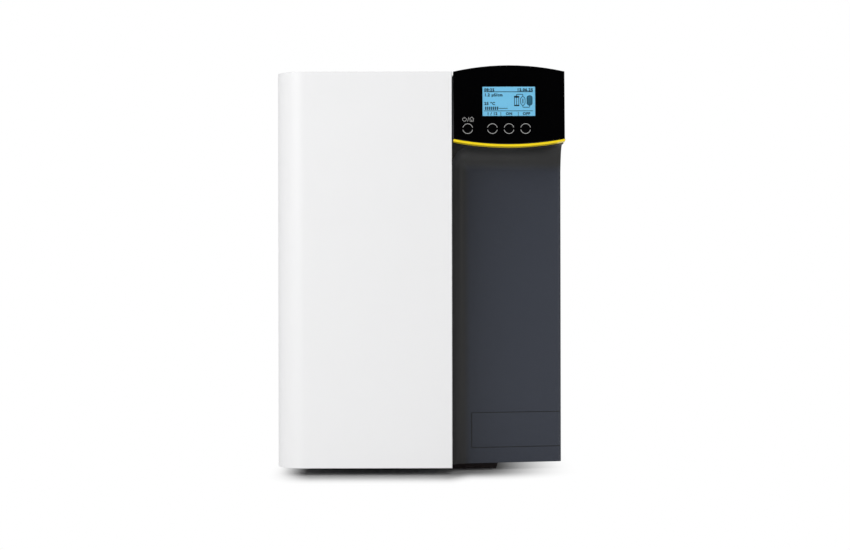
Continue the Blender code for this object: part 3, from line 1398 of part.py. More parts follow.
def build_carrier():
    """The moulded panel across the water side that holds the cartridge head and hoses."""
    left = LEFT_X + CARRIER_LEFT_INSET
    right = BULKHEAD_LEFT_X - FIT_GAP
    notch_right = MODULE_X + MODULE_PORT_OFFSET + 2 * HOSE_RADIUS + MOULDING
    notch_left = notch_right - CARRIER_NOTCH_WIDTH
    base = SEAT_Z + SHEET + FIT_GAP
    outline = [
        (left, SEAT_Z),
        (notch_left, SEAT_Z),
        (notch_left, SEAT_Z + CARRIER_NOTCH_HEIGHT),
        (notch_right, SEAT_Z + CARRIER_NOTCH_HEIGHT),
        (notch_right, base),
        (right, base),
        (right, CARRIER_TOP_Z),
        (left, CARRIER_TOP_Z),
    ]
    panel = prism(outline, CARRIER_FRONT_Y, CARRIER_REAR_Y, "Y")
    carrier = add_piece("module_carrier", panel, "natural_plastic")
    foot = block(
        (left, CARRIER_FRONT_Y + SHEET, SEAT_Z),
        (notch_left - FIT_GAP, CARRIER_REAR_Y + CARRIER_FOOT, SEAT_Z + MOULDING),
    )
    add_to(carrier, foot, "foot")
    return carrier


def sector(inner, outer, start, end, steps):
    """The outline of a stretch of ring between two angles."""
    return arc((0.0, 0.0), outer, start, end, steps) + arc((0.0, 0.0), inner, end, start, steps)


def placed(outline, centre):
    """An outline shifted to a centre in plan."""
    return [(x + centre[0], y + centre[1]) for x, y in outline]


def build_cartridge():
    """The pretreatment cartridge: a ribbed foot, a body, and a neck with two bayonet lugs."""
    seal_top = CARTRIDGE_NECK_TOP_Z - SEAL_DROP
    seal_low = seal_top - SEAL_HEIGHT
    edge = CARTRIDGE_RADIUS - CARTRIDGE_FOOT_RADIUS
    profile = [
        (0.0, CARTRIDGE_BOTTOM_Z),
        (CARTRIDGE_FOOT_RADIUS, CARTRIDGE_BOTTOM_Z),
        (CARTRIDGE_FOOT_RADIUS, CARTRIDGE_BOTTOM_Z + GRIP_RIB_HEIGHT),
    ]
    rise = CARTRIDGE_BOTTOM_Z + GRIP_RIB_HEIGHT
    profile += arc((CARTRIDGE_FOOT_RADIUS, rise + edge), edge, -90, 0, CORNER_STEPS // 2)[1:]
    dome = (CARTRIDGE_RADIUS - CARTRIDGE_SHOULDER, CARTRIDGE_TOP_Z)
    profile += arc(dome, CARTRIDGE_SHOULDER, 0, 80, CORNER_STEPS)
    profile += [
        (CARTRIDGE_NECK_RADIUS, CARTRIDGE_TOP_Z + CARTRIDGE_SHOULDER),
        (CARTRIDGE_NECK_RADIUS, seal_low),
        (CARTRIDGE_NECK_RADIUS - SEAL_DEPTH, seal_low),
        (CARTRIDGE_NECK_RADIUS - SEAL_DEPTH, seal_top),
        (CARTRIDGE_NECK_RADIUS, seal_top),
        (CARTRIDGE_NECK_RADIUS, CARTRIDGE_NECK_TOP_Z),
        (0.0, CARTRIDGE_NECK_TOP_Z),
    ]
    origin = (CARTRIDGE_X, CARTRIDGE_Y, CARTRIDGE_BOTTOM_Z)
    centre = origin[:2]
    body = turned(profile, (*centre, 0.0), steps=FINE_STEPS)
    cartridge = add_piece("pretreatment_cartridge", body, "white_cover", origin, smooth=True)
    ribs = []
    for index in range(GRIP_RIB_COUNT):
        angle = math.tau * index / GRIP_RIB_COUNT
        x = CARTRIDGE_X + CARTRIDGE_FOOT_RADIUS * math.cos(angle)
        y = CARTRIDGE_Y + CARTRIDGE_FOOT_RADIUS * math.sin(angle)
        base = (x, y, CARTRIDGE_BOTTOM_Z + GRIP_RIB_RADIUS)
        ribs.append(rod(GRIP_RIB_RADIUS, GRIP_RIB_HEIGHT, base, steps=CORNER_STEPS))
    add_to(cartridge, joined(ribs), "grip_ribs")
    lugs = []
    for middle in (0, 180):
        outline = sector(
            CARTRIDGE_NECK_RADIUS - SEAL_DEPTH,
            CARTRIDGE_NECK_RADIUS + LUG_REACH,
            middle - LUG_ANGLE / 2,
            middle + LUG_ANGLE / 2,
            CORNER_STEPS,
        )
        lugs.append(prism(placed(outline, centre), LUG_BOTTOM_Z, LUG_BOTTOM_Z + LUG_HEIGHT))
    add_to(cartridge, joined(lugs), "lugs")
    bore = CARTRIDGE_NECK_RADIUS + 2 * FIT_GAP
    seal = tube(
        CARTRIDGE_NECK_RADIUS - SEAL_DEPTH + FIT_GAP,
        bore - FIT_GAP,
        SEAL_HEIGHT - 2 * FIT_GAP,
        (*centre, seal_low + FIT_GAP),
        steps=FINE_STEPS,
    )
    add_piece("cartridge_seal", seal, "rubber", origin, smooth=True)
    return cartridge


def port_rods(places, z, height=PORT_HEIGHT):
    """Hose stubs with a fine barb at the end, standing up from z, or down where height is negative."""
    stubs = []
    for x, y in places:
        low = min(z, z + height)
        stubs.append(rod(PORT_RADIUS, abs(height), (x, y, low), steps=SMALL_STEPS))
    return joined(stubs)


def cartridge_ports():
    """The plan places of the bayonet head's outlet and inlet, left to right."""
    half = BAYONET_PORT_SPACING / 2
    return [(CARTRIDGE_X - half, CARTRIDGE_Y), (CARTRIDGE_X + half, CARTRIDGE_Y)]


def build_bayonet_head():
    """The fixed cup that the cartridge twists into, with its arm to the carrier and two ports."""
    bore = CARTRIDGE_NECK_RADIUS + 2 * FIT_GAP
    groove = CARTRIDGE_NECK_RADIUS + LUG_REACH + 2 * FIT_GAP
    groove_low = LUG_BOTTOM_Z - FIT_GAP
    groove_high = LUG_BOTTOM_Z + LUG_HEIGHT + FIT_GAP
    roof = CARTRIDGE_NECK_TOP_Z + FIT_GAP
    profile = [
        (0.0, roof),
        (bore, roof),
        (bore, groove_high),
        (groove, groove_high),
        (groove, groove_low),
        (bore, groove_low),
        (bore, BAYONET_BOTTOM_Z),
        (BAYONET_RADIUS, BAYONET_BOTTOM_Z),
        (BAYONET_RADIUS, BAYONET_TOP_Z - MOULDING),
        (BAYONET_RADIUS - MOULDING, BAYONET_TOP_Z),
        (0.0, BAYONET_TOP_Z),
    ]
    centre = (CARTRIDGE_X, CARTRIDGE_Y)
    cup = turned(profile, (*centre, 0.0), steps=FINE_STEPS)
    head = add_piece("bayonet_head", cup, "blue_plastic", smooth=True)
    slots = []
    half_angle = LUG_ANGLE / 2 + math.degrees(2 * FIT_GAP / CARTRIDGE_NECK_RADIUS)
    for middle in (90, 270):
        outline = sector(
            bore - SEAL_DEPTH,
            groove - FIT_GAP,
            middle - half_angle,
            middle + half_angle,
            CORNER_STEPS,
        )
        slots.append(prism(placed(outline, centre), BAYONET_BOTTOM_Z - OVERRUN, groove_high - SHEET))
    cut(head, joined(slots), "lug_slots")
    arm = block(
        (CARTRIDGE_X - BAYONET_ARM_WIDTH / 2, CARTRIDGE_Y + bore + LUG_REACH + SHEET,
         BAYONET_TOP_Z - BAYONET_ARM_HEIGHT - 2 * MOULDING),
        (CARTRIDGE_X + BAYONET_ARM_WIDTH / 2, CARRIER_FRONT_Y - FIT_GAP, BAYONET_TOP_Z - 2 * MOULDING),
    )
    add_to(head, arm, "arm")
    add_to(head, port_rods(cartridge_ports(), BAYONET_TOP_Z - SHEET, PORT_HEIGHT), "ports")
    return head


def module_ports():
    """The plan places of the modules' bottom ports: feed, product and drain, then both top ports."""
    return {
        "feed": (MODULE_X + MODULE_PORT_OFFSET, FRONT_MODULE_Y),
        "product": (MODULE_X - MODULE_PORT_OFFSET, REAR_MODULE_Y),
        "drain": (MODULE_X, REAR_MODULE_Y + MODULE_PORT_OFFSET),
        "front_top": (MODULE_X, FRONT_MODULE_Y),
        "rear_top": (MODULE_X, REAR_MODULE_Y),
    }


def build_module(name, y, bottom_ports):
    """One reverse-osmosis module: a tube between two stepped caps with hose stubs."""
    cap_step = MODULE_CAP_HEIGHT / 3
    inset = SHEET
    profile = [
        (0.0, MODULE_BOTTOM_Z),
        (MODULE_CAP_RADIUS - inset, MODULE_BOTTOM_Z),
        (MODULE_CAP_RADIUS, MODULE_BOTTOM_Z + inset),
        (MODULE_CAP_RADIUS, MODULE_BOTTOM_Z + MODULE_CAP_HEIGHT - cap_step),
        (MODULE_TUBE_RADIUS + inset, MODULE_BOTTOM_Z + MODULE_CAP_HEIGHT - inset),
        (MODULE_TUBE_RADIUS, MODULE_BOTTOM_Z + MODULE_CAP_HEIGHT),
        (MODULE_TUBE_RADIUS, MODULE_TOP_Z - MODULE_CAP_HEIGHT),
        (MODULE_TUBE_RADIUS + inset, MODULE_TOP_Z - MODULE_CAP_HEIGHT + inset),
        (MODULE_CAP_RADIUS, MODULE_TOP_Z - MODULE_CAP_HEIGHT + cap_step),
        (MODULE_CAP_RADIUS, MODULE_TOP_Z - inset),
        (MODULE_CAP_RADIUS - inset, MODULE_TOP_Z),
        (0.0, MODULE_TOP_Z),
    ]
    module = add_piece(name, turned(profile, (MODULE_X, y, 0.0)), "white_cover", smooth=True)
    add_to(module, port_rods(bottom_ports, MODULE_BOTTOM_Z + SHEET, -PORT_HEIGHT), "bottom_ports")
    add_to(module, port_rods([(MODULE_X, y)], MODULE_TOP_Z - SHEET, PORT_HEIGHT), "top_port")
    return module


def build_module_clips():
    """Two double spring clips on the bulkhead that hold both modules round their tubes."""
    inner = MODULE_TUBE_RADIUS + FIT_GAP
    outer = inner + CLIP_THICKNESS
    half = CLIP_BASE / 2
    wall = BULKHEAD_LEFT_X - FIT_GAP - MODULE_X
    base_angle = math.degrees(math.asin(half / outer))
    ring = arc((0.0, 0.0), outer, base_angle, 180 - CLIP_OPENING / 2, ARC_STEPS)
    ring += arc((0.0, 0.0), inner, 180 - CLIP_OPENING / 2, -180 + CLIP_OPENING / 2, 2 * ARC_STEPS)
    ring += arc((0.0, 0.0), outer, -180 + CLIP_OPENING / 2, -base_angle, ARC_STEPS)
    outline = [(wall, half)] + ring + [(wall, -half)]
    web = rectangle(
        (MODULE_X + wall - CLIP_THICKNESS, FRONT_MODULE_Y),
        (MODULE_X + wall, REAR_MODULE_Y),
    )
    for name, z in (("lower_module_clip", CLIP_LOW_Z), ("upper_module_clip", CLIP_HIGH_Z)):
        base = prism(web, z, z + CLIP_HEIGHT)
        clip = add_piece(name, base, "natural_plastic", smooth=True)
        holders = []
        for y in (FRONT_MODULE_Y, REAR_MODULE_Y):
            holders.append(prism(placed(outline, (MODULE_X, y)), z, z + CLIP_HEIGHT))
        add_to(clip, joined(holders), "holders")


def build_pump():
    """The booster pump and its motor on a cradle that stands on two waisted rubber rails."""
    front = PUMP_Y
    neck_y = front + PUMP_HEAD_LENGTH
    motor_y = neck_y + PUMP_NECK_LENGTH
    axis = (PUMP_X, front, PUMP_AXIS_Z)
    inset = PIECE_BEVEL
    head_profile = [
        (0.0, 0.0),
        (PUMP_HEAD_RADIUS - inset, 0.0),
        (PUMP_HEAD_RADIUS, inset),
        (PUMP_HEAD_RADIUS, PUMP_HEAD_LENGTH - inset),
        (PUMP_HEAD_RADIUS - inset, PUMP_HEAD_LENGTH),
        (PUMP_NECK_RADIUS, PUMP_HEAD_LENGTH),
        (PUMP_NECK_RADIUS, PUMP_HEAD_LENGTH + PUMP_NECK_LENGTH - FIT_GAP),
        (0.0, PUMP_HEAD_LENGTH + PUMP_NECK_LENGTH - FIT_GAP),
    ]
    head = add_piece("pump_head", turned(head_profile, axis, "Y"), "brass", smooth=True)
    ports = []
    for offset in (-PUMP_PORT_OFFSET, PUMP_PORT_OFFSET):
        base = (PUMP_X + offset, front + PUMP_HEAD_LENGTH / 2, PUMP_AXIS_Z + PUMP_NECK_RADIUS / 2)
        length = PUMP_HEAD_RADIUS - PUMP_NECK_RADIUS / 2 + PORT_HEIGHT
        ports.append(rod(PORT_RADIUS, length, base, steps=SMALL_STEPS))
    add_to(head, joined(ports), "ports")
    fin_pitch = (MOTOR_LENGTH - 2 * MOTOR_CAP_LENGTH) / MOTOR_FIN_COUNT
    motor_profile = [(0.0, 0.0), (MOTOR_RADIUS - inset, 0.0), (MOTOR_RADIUS, inset)]
    for index in range(MOTOR_FIN_COUNT):
        start = MOTOR_CAP_LENGTH + index * fin_pitch
        motor_profile += [
            (MOTOR_RADIUS, start),
            (MOTOR_RADIUS - MOTOR_FIN_DEPTH, start),
            (MOTOR_RADIUS - MOTOR_FIN_DEPTH, start + fin_pitch - MOTOR_FIN_GAP),
            (MOTOR_RADIUS, start + fin_pitch - MOTOR_FIN_GAP),
        ]
    motor_profile += [
        (MOTOR_RADIUS, MOTOR_LENGTH - inset),
        (MOTOR_RADIUS - inset, MOTOR_LENGTH),
        (0.0, MOTOR_LENGTH),
    ]
    motor = turned(motor_profile, (PUMP_X, motor_y, PUMP_AXIS_Z), "Y")
    add_piece("pump_motor", motor, "motor_paint", smooth=True)
    low_y = motor_y + MOTOR_CAP_LENGTH
    high_y = motor_y + MOTOR_LENGTH - MOTOR_CAP_LENGTH
    plate_z = SEAT_Z + PUMP_MOUNT_HEIGHT + FIT_GAP
    half = PUMP_CRADLE_WIDTH / 2
    seat_radius = MOTOR_RADIUS + FIT_GAP
    seat_angle = math.degrees(math.asin((half - MOULDING) / seat_radius))
    saddle_top = PUMP_AXIS_Z - seat_radius * math.cos(math.radians(seat_angle))
    saddle = [(-half, plate_z), (half, plate_z), (half, saddle_top)]
    saddle += [
        (x, z + PUMP_AXIS_Z)
        for x, z in arc((0.0, 0.0), seat_radius, -90 + seat_angle, -90 - seat_angle, ARC_STEPS)
    ]
    saddle.append((-half, saddle_top))
    saddle = placed(saddle, (PUMP_X, 0.0))
    plate = rectangle(
        (PUMP_X - half, plate_z), (PUMP_X + half, plate_z + PUMP_CRADLE_PLATE)
    )
    cradle = add_piece("pump_cradle", prism(plate, low_y, high_y, "Y"), "sheet_steel")
    saddles = [
        prism(saddle, low_y + FIT_GAP, low_y + PUMP_CRADLE_THICKNESS, "Y"),
        prism(saddle, high_y - PUMP_CRADLE_THICKNESS, high_y - FIT_GAP, "Y"),
    ]
    add_to(cradle, joined(saddles), "saddles")
    waist = PUMP_MOUNT_RADIUS - 2 * PIECE_BEVEL
    mount_plan = [
        (-PUMP_MOUNT_RADIUS, 0.0),
        (PUMP_MOUNT_RADIUS, 0.0),
        (waist, PUMP_MOUNT_HEIGHT / 2),
        (PUMP_MOUNT_RADIUS, PUMP_MOUNT_HEIGHT),
        (-PUMP_MOUNT_RADIUS, PUMP_MOUNT_HEIGHT),
        (-waist, PUMP_MOUNT_HEIGHT / 2),
    ]
    offset = half - PUMP_MOUNT_RADIUS
    for name, x in (("left_pump_mount", PUMP_X - offset), ("right_pump_mount", PUMP_X + offset)):
        add_piece(name, prism(placed(mount_plan, (x, SEAT_Z)), low_y, high_y, "Y"), "rubber")


def valve_centre():
    """The middle of the inlet valve's body in plan."""
    x = BULKHEAD_LEFT_X - FIT_GAP - VALVE_BODY_WIDTH / 2
    return x, PANEL_FRONT_Y - VALVE_SETBACK - VALVE_BODY_DEPTH / 2


def build_valve():
    """The inlet valve on the bulkhead: a brass body and its coil."""
    x, y = valve_centre()
    low = (x - VALVE_BODY_WIDTH / 2, y - VALVE_BODY_DEPTH / 2, VALVE_Z)
    high = (x + VALVE_BODY_WIDTH / 2, y + VALVE_BODY_DEPTH / 2, VALVE_Z + VALVE_BODY_HEIGHT)
    body = add_piece("inlet_valve", block(low, high), "brass")
    port_z = VALVE_Z + VALVE_BODY_HEIGHT / 2
    length = VALVE_BODY_DEPTH + 2 * PORT_HEIGHT
    stub = rod(PORT_RADIUS, length, (x, low[1] - PORT_HEIGHT, port_z), "Y", SMALL_STEPS)
    add_to(body, stub, "ports")
    coil = rod(VALVE_COIL_RADIUS - FIT_GAP, VALVE_COIL_HEIGHT, (x, y, high[2] - SHEET))
    add_to(body, coil, "coil")


def build_electronics():
    """The power supply and the main board on the bulkhead's right side."""
    left = BULKHEAD_RIGHT_X + FIT_GAP
    low = (left, SUPPLY_FRONT_Y, SUPPLY_Z)
    high = (left + SUPPLY_WIDTH, SUPPLY_FRONT_Y + SUPPLY_DEPTH, SUPPLY_Z + SUPPLY_HEIGHT)
    supply = add_piece("power_supply", block(low, high), "sheet_steel")
    slots = []
    middle_z = SUPPLY_Z + SUPPLY_HEIGHT / 2
    first = SUPPLY_FRONT_Y + SUPPLY_DEPTH / 2 - SUPPLY_SLOT_PITCH * (SUPPLY_SLOT_COUNT - 1) / 2
    for index in range(SUPPLY_SLOT_COUNT):
        y = first + index * SUPPLY_SLOT_PITCH
        slots.append(block(
            (high[0] - SUPPLY_SLOT_DEPTH, y - SUPPLY_SLOT_WIDTH / 2, middle_z - SUPPLY_SLOT_HEIGHT / 2),
            (high[0] + OVERRUN, y + SUPPLY_SLOT_WIDTH / 2, middle_z + SUPPLY_SLOT_HEIGHT / 2),
        ))
    cut(supply, joined(slots), "slots")
    board_x = left + MAIN_BOARD_STANDOFF
    corner = (MAIN_BOARD_FRONT_Y, MAIN_BOARD_Z)
    far = (MAIN_BOARD_FRONT_Y + MAIN_BOARD_DEPTH, MAIN_BOARD_Z + MAIN_BOARD_HEIGHT)
    board = prism(rectangle(corner, far), board_x, board_x + BOARD_THICKNESS, "X")
    main_board = add_piece("main_board", board, "circuit_green")
    surface = board_x + BOARD_THICKNESS
    parts = []
    layout_shares = (
        (0.12, 0.30, 0.30, 0.55, CHIP_HEIGHT),
        (0.38, 0.60, 0.34, 0.62, CHIP_HEIGHT),
        (0.68, 0.78, 0.16, 0.36, RELAY_HEIGHT),
        (0.82, 0.92, 0.16, 0.36, RELAY_HEIGHT),
        (0.68, 0.92, 0.52, 0.62, RELAY_HEIGHT),
        (0.14, 0.44, 0.84, 0.93, CONNECTOR_HEIGHT),
        (0.52, 0.88, 0.84, 0.93, CONNECTOR_HEIGHT),
        (0.14, 0.50, 0.06, 0.15, CONNECTOR_HEIGHT),
    )
    for y0, y1, z0, z1, height in layout_shares:
        low = (corner[0] + y0 * MAIN_BOARD_DEPTH, corner[1] + z0 * MAIN_BOARD_HEIGHT)
        high = (corner[0] + y1 * MAIN_BOARD_DEPTH, corner[1] + z1 * MAIN_BOARD_HEIGHT)
        parts.append(prism(rectangle(low, high), surface - FIT_GAP, surface + height, "X"))
    add_to(main_board, joined(parts), "components")


def socket_outline(margin):
    """The mains socket's outline: a rectangle with its two upper corners cut off."""
    half = SOCKET_WIDTH / 2 + margin
    low = INLET_Z - INLET_HEIGHT / 2 + SOCKET_RISE - margin
    high = low + SOCKET_HEIGHT + 2 * margin
    cut_off = SOCKET_CHAMFER
    return placed([
        (-half, low),
        (half, low),
        (half, high - cut_off),
        (half - cut_off, high),
        (-half + cut_off, high),
        (-half, high - cut_off),
    ], (INLET_X, 0.0))


def drawer_centre():
    """The middle of the fuse drawer across and up the inlet."""
    return INLET_X, INLET_Z - INLET_HEIGHT / 2 + DRAWER_RISE + DRAWER_HEIGHT / 2


def rocker_centre():
    """The middle of the rocker switch across and up the inlet."""
    return INLET_X, INLET_Z - INLET_HEIGHT / 2 + ROCKER_RISE + ROCKER_HEIGHT / 2 + INLET_FLANGE


def build_mains_inlet():
    """The mains inlet: socket with three blades, sliding fuse drawer and rocker switch."""
    front = PANEL_FRONT_Y - INLET_BODY_DEPTH
    face = FLANGE_FACE_Y + INLET_FLANGE_THICKNESS
    low, high = centred(INLET_WIDTH, INLET_HEIGHT, (INLET_X, INLET_Z))
    body = prism(rectangle(low, high), front, FLANGE_FACE_Y + SHEET, "Y")
    inlet = add_piece("mains_inlet", body, "component_black")
    low, high = centred(
        INLET_WIDTH + 2 * INLET_FLANGE, INLET_HEIGHT + 2 * INLET_FLANGE, (INLET_X, INLET_Z)
    )
    flange = prism(rounded_rectangle(low, high, INLET_FLANGE / 2), FLANGE_FACE_Y, face, "Y")
    add_to(inlet, flange, "flange")
    cuts = [prism(socket_outline(0.0), face - SOCKET_DEPTH, face + OVERRUN, "Y")]
    low, high = centred(
        DRAWER_WIDTH + 2 * FIT_GAP, DRAWER_HEIGHT + 2 * FIT_GAP, drawer_centre()
    )
    cuts.append(prism(rectangle(low, high), face - DRAWER_DEPTH - FIT_GAP, face + OVERRUN, "Y"))
    low, high = centred(
        ROCKER_WIDTH + 2 * FIT_GAP, ROCKER_HEIGHT + 2 * PIECE_BEVEL, rocker_centre()
    )
    cuts.append(prism(rectangle(low, high), face - ROCKER_POCKET_DEPTH, face + OVERRUN, "Y"))
    cut(inlet, joined(cuts), "sockets")
    low_z = INLET_Z - INLET_HEIGHT / 2 + SOCKET_RISE + SOCKET_HEIGHT / 2
    base = face - SOCKET_DEPTH - SHEET
    pins = []
    for x, z in ((-PIN_SPACING, -PIN_OFFSET), (PIN_SPACING, -PIN_OFFSET), (0.0, PIN_OFFSET)):
        low, high = centred(PIN_THICKNESS, PIN_WIDTH, (INLET_X + x, low_z + z))
        pins.append(prism(rectangle(low, high), base, base + PIN_LENGTH, "Y"))
    add_to(inlet, joined(pins), "blades")
    x, z = drawer_centre()
    low, high = centred(DRAWER_WIDTH, DRAWER_HEIGHT, (x, z))
    drawer = prism(rectangle(low, high), face - DRAWER_DEPTH, face + SHEET, "Y")
    piece = add_piece("fuse_drawer", drawer, "component_black", (x, face, z))
    low, high = centred(DRAWER_WIDTH - 2 * DRAWER_LIP, DRAWER_LIP, (x, z))
    lip = prism(rectangle(low, high), face + SHEET / 2, face + SHEET + DRAWER_LIP, "Y")
    add_to(piece, lip, "finger_lip")
    build_rocker(face)
    return inlet


def build_rocker(face):
    """The rocker: two wings that meet at its pivot, stored with the lower wing pressed in."""
    x, z = rocker_centre()
    half = ROCKER_HEIGHT / 2
    rise = math.radians(ROCKER_THROW / 2)
    tip = half * math.tan(rise)
    outline = [
        (-tip, -half),
        (ROCKER_THICKNESS / 4, 0.0),
        (-tip, half),
        (-tip - ROCKER_THICKNESS, half - ROCKER_THICKNESS / 2),
        (-tip - ROCKER_THICKNESS, -half + ROCKER_THICKNESS / 2),
    ]
    shape = prism(
        [(y + ROCKER_THICKNESS / 2, height) for y, height in outline],
        -ROCKER_WIDTH / 2,
        ROCKER_WIDTH / 2,
        "X",
    )
    rocker = add_piece("rocker_switch", shape, "component_black")
    rocker.location = (x, face - ROCKER_THICKNESS / 2, z)
    rocker.rotation_euler = (-rise, 0.0, 0.0)
    return rocker


def build_ports():
    """The water port block behind the panel and its three sliding release collets."""
    face = REAR_Y + PORT_BOSS_LENGTH
    block_rear = PANEL_FRONT_Y - FIT_GAP
    block_front = block_rear - PORT_BLOCK_DEPTH
    flange_start = BODY_DEPTH / 2 - COLLET_FLANGE_THICKNESS
    socket_floor = flange_start - COLLET_LENGTH - COLLET_TRAVEL - FIT_GAP
    heights = port_heights()
    low = (WATER_PORT_X - PORT_BLOCK_WIDTH / 2, heights[0] - PORT_BLOCK_WIDTH / 2)
    high = (WATER_PORT_X + PORT_BLOCK_WIDTH / 2, heights[-1] + PORT_BLOCK_WIDTH / 2)
    plate = prism(rounded_rectangle(low, high, PORT_BLOCK_WIDTH / 4), block_front, block_rear, "Y")
    port_block = add_piece("water_port_block", plate, "natural_plastic", smooth=True)
    boss_profile = [
        (0.0, block_front - PORT_HEIGHT),
        (PORT_RADIUS, block_front - PORT_HEIGHT),
        (PORT_RADIUS, block_rear - SHEET),
        (PORT_BOSS_RADIUS, block_rear - SHEET),
        (PORT_BOSS_RADIUS, face - SHEET),
        (PORT_BOSS_RADIUS - SHEET, face),
        (0.0, face),
    ]
    socket_profile = [
        (0.0, face - BORE_DEPTH),
        (TUBE_BORE_RADIUS, face - BORE_DEPTH),
        (TUBE_BORE_RADIUS, socket_floor),
        (COLLET_RADIUS + FIT_GAP, socket_floor),
        (COLLET_RADIUS + FIT_GAP, face + SHEET),
        (0.0, face + SHEET),
    ]
    collet_profile = [
        (TUBE_BORE_RADIUS, flange_start - COLLET_LENGTH),
        (COLLET_RADIUS, flange_start - COLLET_LENGTH),
        (COLLET_RADIUS, flange_start),
        (COLLET_FLANGE_RADIUS, flange_start),
        (COLLET_FLANGE_RADIUS, BODY_DEPTH / 2),
        (TUBE_BORE_RADIUS, BODY_DEPTH / 2),
    ]
    bosses = []
    sockets = []
    for name, z in zip(("drain_collet", "product_collet", "feed_collet"), heights):
        bosses.append(turned(boss_profile, (WATER_PORT_X, 0.0, z), "Y", PORT_STEPS))
        sockets.append(turned(socket_profile, (WATER_PORT_X, 0.0, z), "Y", PORT_STEPS))
        collet = turned(collet_profile, (WATER_PORT_X, 0.0, z), "Y", PORT_STEPS, ring=True)
        origin = (WATER_PORT_X, BODY_DEPTH / 2, z)
        add_piece(name, collet, "blue_plastic", origin, smooth=True)
    add_to(port_block, joined(bosses), "bosses")
    cut(port_block, joined(sockets), "sockets")
    return port_block


def build_signal_sockets():
    """The nine-way data port and the round tank sensor socket."""
    low, high = centred(DATA_PORT_WIDTH, DATA_PORT_HEIGHT, (INLET_X, DATA_PORT_Z))
    plate = prism(rounded_rectangle(low, high, PIECE_BEVEL), FLANGE_FACE_Y,
                  FLANGE_FACE_Y + DATA_PORT_PLATE, "Y")
    port = add_piece("data_port", plate, "bright_steel")
    half, rise = DATA_BOSS_WIDTH / 2, DATA_BOSS_HEIGHT / 2
    boss = placed([
        (-half + DATA_BOSS_TAPER, -rise),
        (half - DATA_BOSS_TAPER, -rise),
        (half, rise),
        (-half, rise),
    ], (INLET_X, DATA_PORT_Z))
    end = FLANGE_FACE_Y + DATA_BOSS_LENGTH
    add_to(port, prism(boss, FLANGE_FACE_Y + DATA_PORT_PLATE / 2, end, "Y"), "boss")
    groove = SENSOR_RADIUS - SENSOR_RING_WIDTH
    profile = [
        (0.0, -SENSOR_SHANK_LENGTH),
        (SENSOR_SHANK_RADIUS, -SENSOR_SHANK_LENGTH),
        (SENSOR_SHANK_RADIUS, 0.0),
        (SENSOR_RADIUS, 0.0),
        (SENSOR_RADIUS, SENSOR_LENGTH),
        (groove, SENSOR_LENGTH),
        (groove, SENSOR_LENGTH / 2),
        (groove - SENSOR_GROOVE, SENSOR_LENGTH / 2),
        (groove - SENSOR_GROOVE, SENSOR_LENGTH - SENSOR_GROOVE),
        (0.0, SENSOR_LENGTH - SENSOR_GROOVE),
    ]
    socket = turned(profile, (INLET_X, FLANGE_FACE_Y, SENSOR_Z), "Y", PORT_STEPS)
    add_piece("sensor_socket", socket, "bright_steel", smooth=True)


